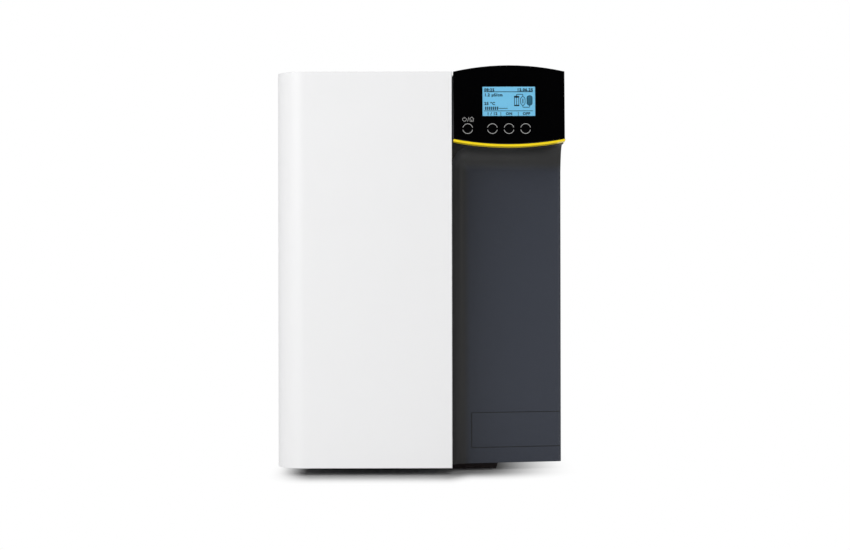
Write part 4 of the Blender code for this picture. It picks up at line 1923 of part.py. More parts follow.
def build_hoses():
    """The six hoses of the water path, each from one stub's end to the next."""
    gap = Vector((0.0, 0.0, FIT_GAP))
    over_z = (CARRIER_TOP_Z + ROOF_UNDER_Z) / 2
    head_top = BAYONET_TOP_Z - SHEET + PORT_HEIGHT
    module_top = MODULE_TOP_Z - SHEET + PORT_HEIGHT
    module_low = MODULE_BOTTOM_Z + SHEET - PORT_HEIGHT
    ports = module_ports()
    outlet, inlet = cartridge_ports()
    pump_z = PUMP_AXIS_Z + PUMP_HEAD_RADIUS + PORT_HEIGHT
    pump_y = PUMP_Y + PUMP_HEAD_LENGTH / 2
    suction = Vector((PUMP_X - PUMP_PORT_OFFSET, pump_y, pump_z))
    delivery = Vector((PUMP_X + PUMP_PORT_OFFSET, pump_y, pump_z))
    valve_x, valve_y = valve_centre()
    valve_z = VALVE_Z + VALVE_BODY_HEIGHT / 2
    valve_end = VALVE_BODY_DEPTH / 2 + PORT_HEIGHT
    behind = CARRIER_REAR_Y + HOSE_BEND
    feed_end = PANEL_FRONT_Y - PORT_BLOCK_DEPTH - PORT_HEIGHT - 2 * FIT_GAP
    heights = port_heights()
    low_run = SEAT_Z + CARRIER_NOTCH_HEIGHT / 2
    add_hose("inlet_hose", [
        (WATER_PORT_X, feed_end, heights[2]),
        (WATER_PORT_X, feed_end - HOSE_BEND / 2, heights[2]),
        (valve_x, valve_y + valve_end + FIT_GAP + HOSE_BEND / 3, valve_z),
        (valve_x, valve_y + valve_end + FIT_GAP, valve_z),
    ])
    add_hose("feed_hose", [
        (valve_x, valve_y - valve_end - FIT_GAP, valve_z),
        (valve_x, valve_y - valve_end - HOSE_BEND / 2, valve_z),
        (valve_x - HOSE_BEND, valve_y - valve_end - 2 * HOSE_BEND, valve_z + HOSE_BEND),
        (inlet[0], behind + HOSE_BEND, (valve_z + over_z) / 2),
        (inlet[0], behind, over_z - HOSE_BEND),
        (inlet[0], CARRIER_REAR_Y, over_z),
        (inlet[0], CARRIER_FRONT_Y - HOSE_BEND, over_z),
        (inlet[0], inlet[1] + HOSE_BEND / 4, over_z - HOSE_BEND / 3),
        (*inlet, head_top + HOSE_BEND / 3),
        Vector((*inlet, head_top)) + gap,
    ])
    add_hose("pump_inlet_hose", [
        Vector((*outlet, head_top)) + gap,
        (*outlet, head_top + HOSE_BEND / 3),
        (outlet[0], outlet[1] + HOSE_BEND / 4, over_z - HOSE_BEND / 3),
        (outlet[0], CARRIER_FRONT_Y - HOSE_BEND, over_z),
        (outlet[0], CARRIER_REAR_Y, over_z),
        (outlet[0], behind, over_z - HOSE_BEND),
        (suction.x, suction.y, suction.z + 3 * HOSE_BEND),
        (suction.x, suction.y, suction.z + HOSE_BEND / 2),
        suction + gap,
    ])
    add_hose("pump_outlet_hose", [
        delivery + gap,
        (delivery.x, delivery.y, delivery.z + HOSE_BEND / 3),
        (delivery.x + HOSE_BEND, delivery.y, delivery.z + HOSE_BEND),
        (ports["feed"][0], delivery.y - HOSE_BEND / 2, delivery.z - HOSE_BEND),
        (ports["feed"][0], CARRIER_REAR_Y + HOSE_BEND, low_run + HOSE_BEND / 2),
        (ports["feed"][0], CARRIER_FRONT_Y, low_run),
        (ports["feed"][0], ports["feed"][1] + HOSE_BEND, low_run),
        (*ports["feed"], module_low - HOSE_BEND / 3),
        (*ports["feed"], module_low - FIT_GAP),
    ])
    add_hose("module_link_hose", [
        Vector((*ports["front_top"], module_top)) + gap,
        (ports["front_top"][0], ports["front_top"][1], module_top + HOSE_BEND / 3),
        (ports["front_top"][0], ports["front_top"][1] + HOSE_BEND, module_top + HOSE_BEND),
        (ports["rear_top"][0], ports["rear_top"][1] - HOSE_BEND, module_top + HOSE_BEND),
        (ports["rear_top"][0], ports["rear_top"][1], module_top + HOSE_BEND / 3),
        Vector((*ports["rear_top"], module_top)) + gap,
    ])
    for name, place, height in (
        ("product_hose", ports["product"], heights[1]),
        ("drain_hose", ports["drain"], heights[0]),
    ):
        x, y = place
        add_hose(name, [
            (x, y, module_low - FIT_GAP),
            (x, y, module_low - HOSE_BEND / 3),
            (x, y + HOSE_BEND, low_run),
            (x, CARRIER_FRONT_Y, low_run),
            (x, CARRIER_REAR_Y + 3 * HOSE_BEND, low_run),
            (WATER_PORT_X, feed_end - 2 * HOSE_BEND, height),
            (WATER_PORT_X, feed_end - HOSE_BEND / 2, height),
            (WATER_PORT_X, feed_end, height),
        ])


def add_head_mount():
    """The tilted frame that carries every piece of the display head."""
    mount = bpy.data.objects.new("head_mount", None)
    mount.location = HEAD_ORIGIN
    mount.rotation_euler = (-HEAD_TILT, 0.0, 0.0)
    bpy.context.scene.collection.objects.link(mount)
    return mount


def main():
    """Builds the whole machine."""
    clear_scene()
    head_mount = add_head_mount()
    build_base_pan()
    build_feet()
    build_rear_panel()
    build_rear_screws()
    build_bulkhead()
    build_case_cover()
    build_column_cover()
    build_column_plate()
    build_hinge_post()
    build_hinge_pins()
    build_door()
    build_catch()
    build_bezel(head_mount)
    build_trim_strip(head_mount)
    build_head_housing(head_mount)
    build_screen(head_mount)
    build_keys(head_mount)
    build_carrier()
    build_cartridge()
    build_bayonet_head()
    ports = module_ports()
    build_module("front_membrane_module", FRONT_MODULE_Y, [ports["feed"]])
    build_module("rear_membrane_module", REAR_MODULE_Y, [ports["product"], ports["drain"]])
    build_module_clips()
    build_pump()
    build_valve()
    build_electronics()
    build_mains_inlet()
    build_ports()
    build_signal_sockets()
    build_hoses()


main()
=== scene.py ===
"""Looks of the laboratory water purifier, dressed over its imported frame.

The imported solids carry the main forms. This file gives each of them a procedural finish, and adds
what is too fine or too soft for them: the lit display, the printed keys, smooth hoses with their
collars, the bands and stage numbers, the ports' round parts and contacts, and the screws' drives.
"""

import json
import logging
import math
from collections.abc import Callable
from dataclasses import dataclass, field, replace
from enum import Enum

import bpy
import numpy as np
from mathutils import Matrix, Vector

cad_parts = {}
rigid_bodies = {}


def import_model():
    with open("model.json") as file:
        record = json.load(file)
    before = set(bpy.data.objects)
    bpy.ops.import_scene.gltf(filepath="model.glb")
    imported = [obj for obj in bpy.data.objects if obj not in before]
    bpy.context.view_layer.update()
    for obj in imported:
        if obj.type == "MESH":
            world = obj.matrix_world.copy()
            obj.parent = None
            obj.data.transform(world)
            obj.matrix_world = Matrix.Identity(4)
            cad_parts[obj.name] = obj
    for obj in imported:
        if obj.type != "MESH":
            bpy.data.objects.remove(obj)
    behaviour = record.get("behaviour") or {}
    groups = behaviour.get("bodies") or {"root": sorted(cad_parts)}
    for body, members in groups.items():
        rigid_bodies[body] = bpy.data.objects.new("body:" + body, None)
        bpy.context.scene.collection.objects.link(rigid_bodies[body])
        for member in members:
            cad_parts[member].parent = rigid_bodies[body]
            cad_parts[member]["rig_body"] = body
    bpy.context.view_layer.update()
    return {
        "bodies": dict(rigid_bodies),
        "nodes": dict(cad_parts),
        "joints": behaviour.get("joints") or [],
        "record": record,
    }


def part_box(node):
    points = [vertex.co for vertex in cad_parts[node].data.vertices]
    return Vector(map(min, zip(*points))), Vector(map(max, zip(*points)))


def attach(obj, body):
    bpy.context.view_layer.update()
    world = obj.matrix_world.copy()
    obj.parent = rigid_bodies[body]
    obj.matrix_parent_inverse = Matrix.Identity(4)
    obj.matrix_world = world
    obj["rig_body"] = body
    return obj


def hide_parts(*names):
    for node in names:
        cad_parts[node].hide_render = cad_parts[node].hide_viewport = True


log = logging.getLogger("purifier")

Colour = tuple[float, float, float]
Place = tuple[float, float, float]
Pair = tuple[float, float]
MM = 0.001
NOWHERE: Place = (0.0, 0.0, 0.0)
EVEN: Place = (1.0, 1.0, 1.0)
X: Place = (1.0, 0.0, 0.0)
Y: Place = (0.0, 1.0, 0.0)
Z: Place = (0.0, 0.0, 1.0)


# ---------------------------------------------------------------- shader values and node boards

class Link:
    """One shader output, on which Python's operators add Math nodes."""

    def __init__(self, board: "NodeBoard", socket: bpy.types.NodeSocket) -> None:
        """Holds the board that the socket belongs to."""
        self.board = board
        self.socket = socket

    def maths(self, operation: str, *terms: "Link | float") -> "Link":
        """Adds one Math node on the terms, which are its inputs in order, and gives its output."""
        return self.board.out("ShaderNodeMath", {"operation": operation}, dict(enumerate(terms)))

    def above(self, floor: "Link | float") -> "Link":
        """This or another value, whichever is greater."""
        return self.maths("MAXIMUM", self, floor)

    def between(self, low: float, high: float) -> "Link":
        """1 where this lies between two numbers, else 0."""
        return (self > low) * (self < high)

    def stepped(self, low: float, high: float) -> "Link":
        """Smooth step from 0 at low to 1 at high."""
        ends = {"Value": self, "From Min": low, "From Max": high, "To Min": 0.0, "To Max": 1.0}
        return self.board.out("ShaderNodeMapRange", {"interpolation_type": "SMOOTHSTEP"}, ends, "Result")


def operator(operation: str, swapped: bool) -> Callable[..., Link]:
    """The method of one Python operator.

    Args:
        operation: the Math node's operation.
        swapped: whether the link is the operator's right-hand term.

    Returns:
        The method.
    """
    def method(self: Link, *other: Link | float) -> Link:
        """Adds the operator's node."""
        return self.maths(operation, *((*other, self) if swapped else (self, *other)))

    return method


OPERATORS = {
    "add": "ADD", "sub": "SUBTRACT", "mul": "MULTIPLY", "truediv": "DIVIDE", "pow": "POWER",
    "mod": "FLOORED_MODULO", "gt": "GREATER_THAN", "lt": "LESS_THAN", "abs": "ABSOLUTE",
}
for word, kind in OPERATORS.items():
    setattr(Link, f"__{word}__", operator(kind, False))
    if word in ("add", "sub", "mul"):
        setattr(Link, f"__r{word}__", operator(kind, True))


class NodeBoard:
    """A node tree under construction, with the one method that makes its nodes."""

    def __init__(self, tree: bpy.types.NodeTree) -> None:
        """Takes a tree and empties it."""
        self.tree = tree
        tree.nodes.clear()

    def node(self, kind: str, settings: dict, sockets: dict) -> bpy.types.Node:
        """Makes a node.

        Args:
            kind: the node's type.
            settings: attributes set before its sockets.
            sockets: input name or number, to a number, a colour, a vector or a Link.

        Returns:
            The node.
        """
        made = self.tree.nodes.new(kind)
        for name, value in settings.items():
            setattr(made, name, value)
        for name, value in sockets.items():
            self.fill(made.inputs[name], value)
        return made

    def fill(self, socket: bpy.types.NodeSocket, value: "Link | float | tuple") -> None:
        """Links an input socket, or sets it to a number, a colour or a vector."""
        if isinstance(value, Link):
            self.tree.links.new(value.socket, socket)
        else:
            socket.default_value = (*value, 1.0) if socket.type == "RGBA" else value

    def out(self, kind: str, settings: dict, sockets: dict, name: str | int = 0) -> Link:
        """Makes a node and gives one of its outputs."""
        return Link(self, self.node(kind, settings, sockets).outputs[name])


class Paint(NodeBoard):
    """A material under construction, read in the object's own coordinates."""

    def __init__(self, name: str) -> None:
        """Starts a material with a plain shader."""
        self.material = bpy.data.materials.new(name)
        self.material.use_nodes = True
        super().__init__(self.material.node_tree)
        self.shader = self.node("ShaderNodeBsdfPrincipled", {}, {})
        lit = Link(self, self.shader.outputs[0])
        self.output = self.node("ShaderNodeOutputMaterial", {}, {"Surface": lit})
        self._place: Link | None = None

    @property
    def place(self) -> Link:
        """The point on the piece, in metres."""
        if self._place is None:
            self._place = self.out("ShaderNodeTexCoord", {}, {}, "Object")
        return self._place

    def axes(self, source: Link | None = None) -> list[Link]:
        """The three coordinates of a vector, the piece's place in metres if none is given."""
        split = self.node("ShaderNodeSeparateXYZ", {}, {0: source or self.place})
        return [Link(self, output) for output in split.outputs]

    def scaled(self, source: Link, factors: Place) -> Link:
        """A vector with each axis multiplied by a factor."""
        return self.out("ShaderNodeVectorMath", {"operation": "MULTIPLY"}, {0: source, 1: factors})

    def mapped(self) -> Link:
        """The piece's own map."""
        return self.out("ShaderNodeUVMap", {}, {})

    def noise(self, size: float, detail: float = 2.0, source: Link | None = None) -> Link:
        """Soft noise from 0 to 1 whose lumps are about size across, in the source's units."""
        inputs = {"Vector": source or self.place, "Scale": 1.0 / size, "Detail": detail}
        return self.out("ShaderNodeTexNoise", {}, inputs)

    def blend(self, mask: Link, first: Colour | Link, second: Colour | Link) -> Link:
        """A colour that goes from first to second as mask goes from 0 to 1."""
        return self.out("ShaderNodeMix", {"data_type": "RGBA"}, {0: mask, 6: first, 7: second}, 2)

    def drift(self, mask: Link, colour: Colour, low: float, high: float) -> Link:
        """A colour whose lightness goes from one factor to another as mask goes from 0 to 1."""
        return self.blend(mask, shade(colour, low), shade(colour, high))

    def relief(self, height: Link, depth: float) -> Link:
        """A bumped normal from a height of 0 to 1 that stands for depth metres."""
        inputs = {"Strength": 1.0, "Distance": depth, "Height": height}
        return self.out("ShaderNodeBump", {}, inputs, "Normal")

    def done(self, **sockets: Link | float | tuple) -> bpy.types.Material:
        """Sets the shader's sockets by name, with _ for a space, and gives the material."""
        for name, value in sockets.items():
            self.fill(self.shader.inputs[name.replace("_", " ")], value)
        return self.material


# ---------------------------------------------------------------- finishes

def shade(colour: Colour, factor: float) -> Colour:
    """A colour made lighter or darker by a factor."""
    return colour[0] * factor, colour[1] * factor, colour[2] * factor


@dataclass(frozen=True)
class Moulding:
    """Moulded plastic with spark-eroded grain, slow cloudiness and hands' faint polish."""

    colour: Colour
    roughness: float = 0.45
    grain: float = 0.5 * MM
    depth: float = 0.012 * MM
    mottle: float = 0.04
    specular: float = 0.5
    cloud_size: float = 110 * MM
    rub_size: float = 35 * MM

    def tint(self, paint: Paint, face: Link) -> Link:
        """The colour over the piece, which is the face's."""
        return face

    def wear(self, paint: Paint, cloud: Link) -> Link:
        """How the roughness drifts: hands polish the piece in patches."""
        return -0.06 * paint.noise(self.rub_size, 4.0).stepped(0.35, 0.75)

    def build(self, name: str) -> bpy.types.Material:
        """Colour and roughness drift with a wide noise; the bump is a fine one."""
        paint = Paint(name)
        cloud = paint.noise(self.cloud_size, 3.0)
        grain = paint.noise(self.grain)
        face = paint.drift(cloud, self.colour, 1 - self.mottle, 1 + self.mottle)
        return paint.done(
            Base_Color=self.tint(paint, face),
            Roughness=self.roughness + 0.05 * grain + self.wear(paint, cloud),
            Specular_IOR_Level=self.specular,
            Normal=paint.relief(grain, self.depth),
        )


@dataclass(frozen=True)
class ColumnMoulding(Moulding):
    """Moulding that hands don't reach, so that only its cloudiness shows in the gloss."""

    def wear(self, paint: Paint, cloud: Link) -> Link:
        """The roughness follows the cloud."""
        return 0.04 * cloud


@dataclass(frozen=True)
class CovedMoulding(ColumnMoulding):
    """The column's moulding, whose coves carry painted shade: a plainer and darker grey than its face.
    """

    # painted shade: the darker grey of the coves
    cove: Colour = (0.012, 0.0122, 0.0125)
    # painted light: the lighter grey that lifts the painted shade at the ceiling's top, between two
    # heights and fading out across a span, and beside the wall, by a share that fades out across the
    # corner
    deep: Colour = (0.031, 0.0312, 0.0315)
    depths: Pair = (384 * MM, 394 * MM)
    span: Pair = (105 * MM, 165 * MM)
    corner: Pair = (40 * MM, 50 * MM)
    corner_share: float = 0.75
    wall: Pair = (51 * MM, 63 * MM)
    ceiling: Pair = (371 * MM, 386 * MM)
    reach: Pair = (-164 * MM, -157 * MM)

    def tint(self, paint: Paint, face: Link) -> Link:
        """Painted shade fades in towards the niche's wall and ceiling, and out behind the niche; painted
        light lifts it again at the ceiling's top and beside the wall.
        """
        x, y, z = paint.axes()
        # painted shade: the coves darken inside the niche, fading out behind it
        niche = (1.0 - x.stepped(*self.wall)).above(z.stepped(*self.ceiling))
        dark = niche * (1.0 - y.stepped(*self.reach))
        # painted light: where the painted shade is lifted, at the ceiling's top and beside the wall
        deep = z.stepped(*self.depths) * (1.0 - x.stepped(*self.span))
        wall_light = self.corner_share - self.corner_share * x.stepped(*self.corner)
        return paint.blend(dark, face, paint.blend(deep.above(wall_light), self.cove, self.deep))


@dataclass(frozen=True)
class PlateMoulding(ColumnMoulding):
    """The column's moulding on the plate, with a painted shadow line along its rebate on three sides."""

    # painted shadow: the dark grey of the line where the rebate's gap would shade
    seam: Colour = (0.011, 0.0135, 0.016)
    left: float = 63.25 * MM
    rails: Pair = (29.15 * MM, 71.45 * MM)

    def tint(self, paint: Paint, face: Link) -> Link:
        """The painted shadow line lies left of one plane and beyond two others."""
        x, _, z = paint.axes()
        return paint.blend((x > self.left) * z.between(*self.rails), self.seam, face)


@dataclass(frozen=True)
class PowderCoat:
    """Baked powder coat: orange peel in two sizes over sheet metal."""

    colour: Colour
    roughness: float = 0.40
    peel: float = 1.3 * MM
    depth: float = 0.02 * MM

    def build(self, name: str) -> bpy.types.Material:
        """The peel is a soft noise plus one of a quarter of its size and a third of its height."""
        paint = Paint(name)
        fine = paint.noise(self.peel / 4)
        return paint.done(
            Base_Color=paint.drift(paint.noise(140 * MM), self.colour, 0.985, 1.01),
            Roughness=self.roughness + 0.06 * fine,
            Normal=paint.relief(paint.noise(self.peel, 1.0) + 0.35 * fine, self.depth),
        )


@dataclass(frozen=True)
class Gloss:
    """Polished plastic: near mirror, with a haze of wiping marks."""

    colour: Colour
    roughness: float = 0.08
    specular: float = 0.5
    wipe: float = 1.5 * MM

    def build(self, name: str) -> bpy.types.Material:
        """Wiping marks are a noise drawn out along one way, and only raise the roughness."""
        paint = Paint(name)
        streaks = paint.noise(self.wipe, 3.0, paint.scaled(paint.place, (0.12, 1.0, 1.0)))
        cloud = paint.noise(50 * MM)
        return paint.done(
            Base_Color=paint.drift(cloud, self.colour, 0.94, 1.06),
            Roughness=self.roughness + 0.07 * streaks.stepped(0.5, 0.8) * cloud,
            Specular_IOR_Level=self.specular,
            Normal=paint.relief(paint.noise(9 * MM, 1.0), 0.008 * MM),
        )


@dataclass(frozen=True)
class Metal:
    """Bare metal with tool lines along or across an axis."""

    colour: Colour
    roughness: float = 0.3
    lines: Place = (1.0, 1.0, 0.04)
    pitch: float = 0.35 * MM
    depth: float = 0.008 * MM
    tarnish: float = 0.15

    def build(self, name: str) -> bpy.types.Material:
        """Tool lines are a fine noise drawn out along the smallest factor's axis."""
        paint = Paint(name)
        line = paint.noise(self.pitch, 2.0, paint.scaled(paint.place, self.lines))
        stain = paint.noise(18 * MM, 4.0)
        return paint.done(
            Base_Color=paint.drift(stain, self.colour, 1 - self.tarnish, 1.0),
            Metallic=1.0,
            Roughness=self.roughness + 0.12 * line + 0.08 * stain - 0.08,
            Normal=paint.relief(line, self.depth),
        )


@dataclass(frozen=True)
class ZincSheet:
    """Galvanised sheet: crystal spangle that changes tone and shine from grain to grain."""

    colour: Colour = (0.56, 0.57, 0.58)
    spangle: float = 7 * MM

    def build(self, name: str) -> bpy.types.Material:
        """Each Voronoi cell has one random tone; a fine noise gives the sheet its tooth."""
        paint = Paint(name)
        inputs = {"Vector": paint.place, "Scale": 1.0 / self.spangle}
        tone, _, _ = paint.axes(paint.out("ShaderNodeTexVoronoi", {}, inputs, "Color"))
        fine = paint.noise(0.8 * MM, 3.0)
        return paint.done(
            Base_Color=paint.drift(tone, self.colour, 0.82, 1.08),
            Metallic=1.0,
            Roughness=0.34 + 0.14 * tone + 0.06 * fine,
            Normal=paint.relief(fine, 0.006 * MM),
        )


@dataclass(frozen=True)
class Elastomer:
    """Rubber: dull, with bloom that greys its high spots."""

    colour: Colour = (0.03, 0.022, 0.022)
    roughness: float = 0.78

    def build(self, name: str) -> bpy.types.Material:
        """Bloom is a wide noise, the skin a fine one."""
        paint = Paint(name)
        skin = paint.noise(0.4 * MM)
        return paint.done(
            Base_Color=paint.drift(paint.noise(12 * MM, 3.0).stepped(0.4, 0.8), self.colour, 1.0, 1.6),
            Roughness=self.roughness + 0.1 * skin,
            Normal=paint.relief(skin, 0.02 * MM),
        )


@dataclass(frozen=True)
class Tone:
    """A colour with its roughness and whether it is metal."""

    colour: Colour
    roughness: float
    metallic: float = 0.0


@dataclass(frozen=True)
class Zoned:
    """A piece of two materials, one between two planes across an axis and one beyond them."""

    ends: Tone
    middle: Tone
    axis: int
    edges: Pair
    grain: float = 0.5 * MM
    depth: float = 0.01 * MM

    def build(self, name: str) -> bpy.types.Material:
        """The mask is 1 between the planes and 0 beyond them."""
        paint = Paint(name)
        mask = paint.axes()[self.axis].between(*self.edges)
        grain = paint.noise(self.grain)
        cloud = 0.9 + 0.2 * paint.noise(20 * MM, 3.0)
        colour = paint.blend(mask, self.ends.colour, self.middle.colour)
        rough = self.ends.roughness + (self.middle.roughness - self.ends.roughness) * mask
        metal = self.ends.metallic + (self.middle.metallic - self.ends.metallic) * mask
        clouded = paint.out("ShaderNodeVectorMath", {"operation": "SCALE"}, {0: colour, "Scale": cloud})
        return paint.done(
            Base_Color=clouded,
            Roughness=rough + 0.08 * grain,
            Metallic=metal,
            Normal=paint.relief(grain, self.depth),
        )


@dataclass(frozen=True)
class CircuitBoard:
    """Solder mask over copper runs, with tinned pads on a grid."""

    across: int
    along: int
    mask: Colour = (0.012, 0.11, 0.045)
    copper: Colour = (0.03, 0.2, 0.07)
    tin: Colour = (0.7, 0.7, 0.68)
    pitch: float = 2.54 * MM
    pad_radius: float = 0.45 * MM

    def build(self, name: str) -> bpy.types.Material:
        """Runs are every ninth part of a soft noise's levels; pads sit at the grid's crossings."""
        paint = Paint(name)
        axes = paint.axes()
        run = ((paint.noise(14 * MM, 0.0) * 9.0) % 1.0).between(0.0, 0.3)
        across, along = [
            abs((axes[axis] % self.pitch) - self.pitch / 2) for axis in (self.across, self.along)
        ]
        near = (across * across + along * along) < self.pad_radius**2
        pad = near * (paint.noise(11 * MM, 0.0) > 0.56)
        return paint.done(
            Base_Color=paint.blend(pad, paint.blend(run, self.mask, self.copper), self.tin),
            Roughness=0.36 - 0.08 * pad,
            Metallic=pad * 0.9,
            Normal=paint.relief(run + 1.5 * pad, 0.03 * MM),
        )


@dataclass(frozen=True)
class Tubing:
    """Polyethylene tube: waxy, with a faint extrusion haze along it."""

    colour: Colour
    roughness: float = 0.3

    def build(self, name: str) -> bpy.types.Material:
        """The haze reads the tube's own map, whose first axis runs along it."""
        paint = Paint(name)
        haze = paint.noise(1.0, 3.0, paint.scaled(paint.mapped(), (3.0, 40.0, 1.0)))
        return paint.done(
            Base_Color=paint.drift(haze, self.colour, 0.88, 1.05),
            Roughness=self.roughness + 0.12 * haze,
            Subsurface_Weight=0.15,
            Subsurface_Scale=2 * MM,
            Normal=paint.relief(haze, 0.01 * MM),
        )


@dataclass(frozen=True)
class Pane:
    """Clear polycarbonate over the display."""

    colour: Colour = (0.97, 0.98, 1.0)

    def build(self, name: str) -> bpy.types.Material:
        """A smooth pane whose wiping haze is faint."""
        paint = Paint(name)
        haze = paint.noise(2 * MM, 3.0, paint.scaled(paint.place, (0.15, 1.0, 1.0)))
        return paint.done(
            Base_Color=self.colour,
            Roughness=0.03 + 0.03 * haze.stepped(0.55, 0.85),
            Transmission_Weight=1.0,
            IOR=1.3,
            Specular_IOR_Level=0.2,
        )


@dataclass(frozen=True)
class LitPanel:
    """The display's lit field: a grid of dots under an even blue light."""

    light: Colour = (0.166, 0.485, 0.70)
    off: Colour = (0.02, 0.05, 0.07)
    pitch: float = 0.5 * MM
    gap: float = 0.07 * MM

    def build(self, name: str) -> bpy.types.Material:
        """The gaps between dots are a little darker; the light sinks a little to the corners."""
        paint = Paint(name)
        across, up, _ = paint.axes(paint.mapped())
        gap = 1.0 - ((across % self.pitch) > self.gap) * ((up % self.pitch) > self.gap)
        fall = (across * across + up * up) * 45.0
        level = (0.12 * gap + fall + 0.05 * paint.noise(20 * MM)).stepped(-0.15, 1.15)
        return paint.done(
            Base_Color=self.off,
            Roughness=0.35,
            Emission_Color=paint.drift(level, self.light, 1.05, 0.45),
            Emission_Strength=1.06,
        )


@dataclass(frozen=True)
class Ink:
    """Printing ink: a flat film with a pinholed, slightly uneven cover."""

    colour: Colour
    roughness: float = 0.5
    glow: float = 0.0

    def build(self, name: str) -> bpy.types.Material:
        """Pinholes are the peaks of a fine noise."""
        paint = Paint(name)
        cover = paint.noise(0.25 * MM)
        return paint.done(
            Base_Color=paint.drift(cover.stepped(0.62, 0.8), self.colour, 1.0, 0.7),
            Roughness=self.roughness + 0.1 * cover,
            Emission_Color=paint.drift(cover, self.colour, 1.0, 0.9),
            Emission_Strength=self.glow,
            Normal=paint.relief(cover, 0.004 * MM),
        )


# ---------------------------------------------------------------- surfaces in numpy

@dataclass(frozen=True)
class Stand:
    """A local frame: where it stands and which ways its x, y and z point."""

    origin: Place = NOWHERE
    across: Place = X
    inward: Place = Y
    up: Place = Z

    def axes(self) -> np.ndarray:
        """The three directions as rows."""
        return np.array([self.across, self.inward, self.up])

    def world(self, points: np.ndarray) -> np.ndarray:
        """Local points, in the row frame."""
        return np.asarray(self.origin) + points @ self.axes()

    def local(self, points: np.ndarray) -> np.ndarray:
        """Points of the row frame, in this one."""
        return (points - np.asarray(self.origin)) @ self.axes().T

    def at(self, x: float, y: float, z: float) -> "Stand":
        """The same directions at another origin."""
        return replace(self, origin=(x, y, z))


WORLD = Stand()
TO_BACK = Stand(inward=(0.0, 0.0, -1.0), up=Y)
"""A turned piece on this stand has its height along +Y."""
TO_FRONT = Stand(inward=Z, up=(0.0, -1.0, 0.0))
"""A turned piece on this stand has its height along -Y."""
FROM_BEHIND = Stand(across=(-1.0, 0.0, 0.0), inward=(0.0, -1.0, 0.0))
"""Lettering on this stand reads from behind the machine."""


class Skin:
    """Closed shells gathered into one mesh, each turned to look outward."""

    def __init__(self) -> None:
        """Starts empty."""
        self.points: list[np.ndarray] = []
        self.faces: list[list[int]] = []
        self.map: list[np.ndarray] = []
        self.count = 0

    def shell(
        self, grid: np.ndarray, stand: Stand = WORLD, flat_map: bool = False, loop: bool = False
    ) -> "Skin":
        """Adds a shell from a grid whose columns run round it and whose end rows are capped.

        Args:
            grid: rows by columns by 3 local places; the columns close on themselves.
            stand: the frame that the places are in.
            flat_map: whether the map is the local x and z, else lengths along and round.
            loop: whether the rows close on themselves too, as a ring's do, so that it has no caps.

        Returns:
            This skin.
        """
        places = stand.world(grid.reshape(-1, 3)).reshape(grid.shape)
        flat = places.reshape(-1, 3)
        ring = np.arange(len(flat)).reshape(grid.shape[:2])
        ring, places, grid = (self._closed(table, loop) for table in (ring, places, grid))
        quads = self._corners(ring).reshape(-1, 4)
        runs = np.stack([self._run(places, 0), self._run(places, 1)], -1)
        chart = grid[..., (0, 2)] if flat_map else runs
        quad_map = self._corners(chart).reshape(-1, 4, 2)
        caps = [] if loop else [ring[0, :-1][::-1], ring[-1, :-1]]
        cap_maps = [] if loop else [chart[0, :-1][::-1], chart[-1, :-1]]
        if self._volume(flat, quads, caps) < 0:
            quads, quad_map = quads[:, ::-1], quad_map[:, ::-1]
            caps, cap_maps = [c[::-1] for c in caps], [m[::-1] for m in cap_maps]
        self.points.append(flat)
        self.faces += (quads + self.count).tolist() + [(c + self.count).tolist() for c in caps]
        self.map += [quad_map.reshape(-1, 2), *cap_maps]
        self.count += len(flat)
        return self

    @staticmethod
    def _closed(table: np.ndarray, loop: bool) -> np.ndarray:
        """A table with its first column again after the last, and on a loop its first row too."""
        table = np.concatenate([table, table[:, :1]], axis=1)
        return np.concatenate([table, table[:1]]) if loop else table

    @staticmethod
    def _corners(table: np.ndarray) -> np.ndarray:
        """The four entries round each square of a table, on a new third axis."""
        return np.stack([table[:-1, :-1], table[:-1, 1:], table[1:, 1:], table[1:, :-1]], 2)

    @staticmethod
    def _run(places: np.ndarray, axis: int) -> np.ndarray:
        """The length covered along one axis of a grid of places, from 0."""
        steps = np.linalg.norm(np.diff(places, axis=axis), axis=-1).cumsum(axis)
        return np.concatenate([np.zeros_like(steps.take([0], axis)), steps], axis=axis)

    @staticmethod
    def _volume(places: np.ndarray, quads: np.ndarray, caps: list[np.ndarray]) -> float:
        """Six times the signed volume inside quads and fans; positive when they look outward."""
        middle = places.mean(0)
        fans = [np.stack([np.full(len(c) - 2, c[0]), c[1:-1], c[2:]], -1) for c in caps]
        three = places[np.concatenate([quads[:, :3], quads[:, [0, 2, 3]], *fans])] - middle
        return float(np.einsum("ij,ij->", three[:, 0], np.cross(three[:, 1], three[:, 2])))

    def mesh(self, name: str, crease: float) -> bpy.types.Mesh:
        """The mesh, smooth except where faces meet at more than crease degrees."""
        mesh = bpy.data.meshes.new(name)
        mesh.from_pydata(np.concatenate(self.points).tolist(), [], self.faces)
        chart = mesh.uv_layers.new(name="map")
        chart.data.foreach_set("uv", np.concatenate(self.map).astype(np.float32).ravel())
        mesh.shade_smooth()
        mesh.set_sharp_from_angle(angle=math.radians(crease))
        mesh.update()
        return mesh


def unit(vectors: np.ndarray) -> np.ndarray:
    """Vectors at length 1."""
    return vectors / np.maximum(np.linalg.norm(vectors, axis=-1, keepdims=True), 1e-9)


def softened(corners: list[Pair], radius: float, steps: int) -> np.ndarray:
    """A line of corners with each inner corner turned to a round.

    A round is a quadratic Bezier curve with the corner in the middle, which reaches less than half
    of the way to each neighbour.

    Args:
        corners: the places, as pairs.
        radius: how far a round reaches from its corner.
        steps: how many places a round has.

    Returns:
        The places of the softened line.
    """
    line = np.array(corners, float)
    out = [line[:1]]
    t = np.linspace(0, 1, steps)[:, None]
    for before, corner, after in zip(line, line[1:], line[2:]):
        first, second = before - corner, after - corner
        reach = min(radius, 0.49 * np.linalg.norm(first), 0.49 * np.linalg.norm(second))
        start, end = corner + unit(first) * reach, corner + unit(second) * reach
        out.append((1 - t) ** 2 * start + 2 * t * (1 - t) * corner + t**2 * end)
    out.append(line[-1:])
    return np.concatenate(out)


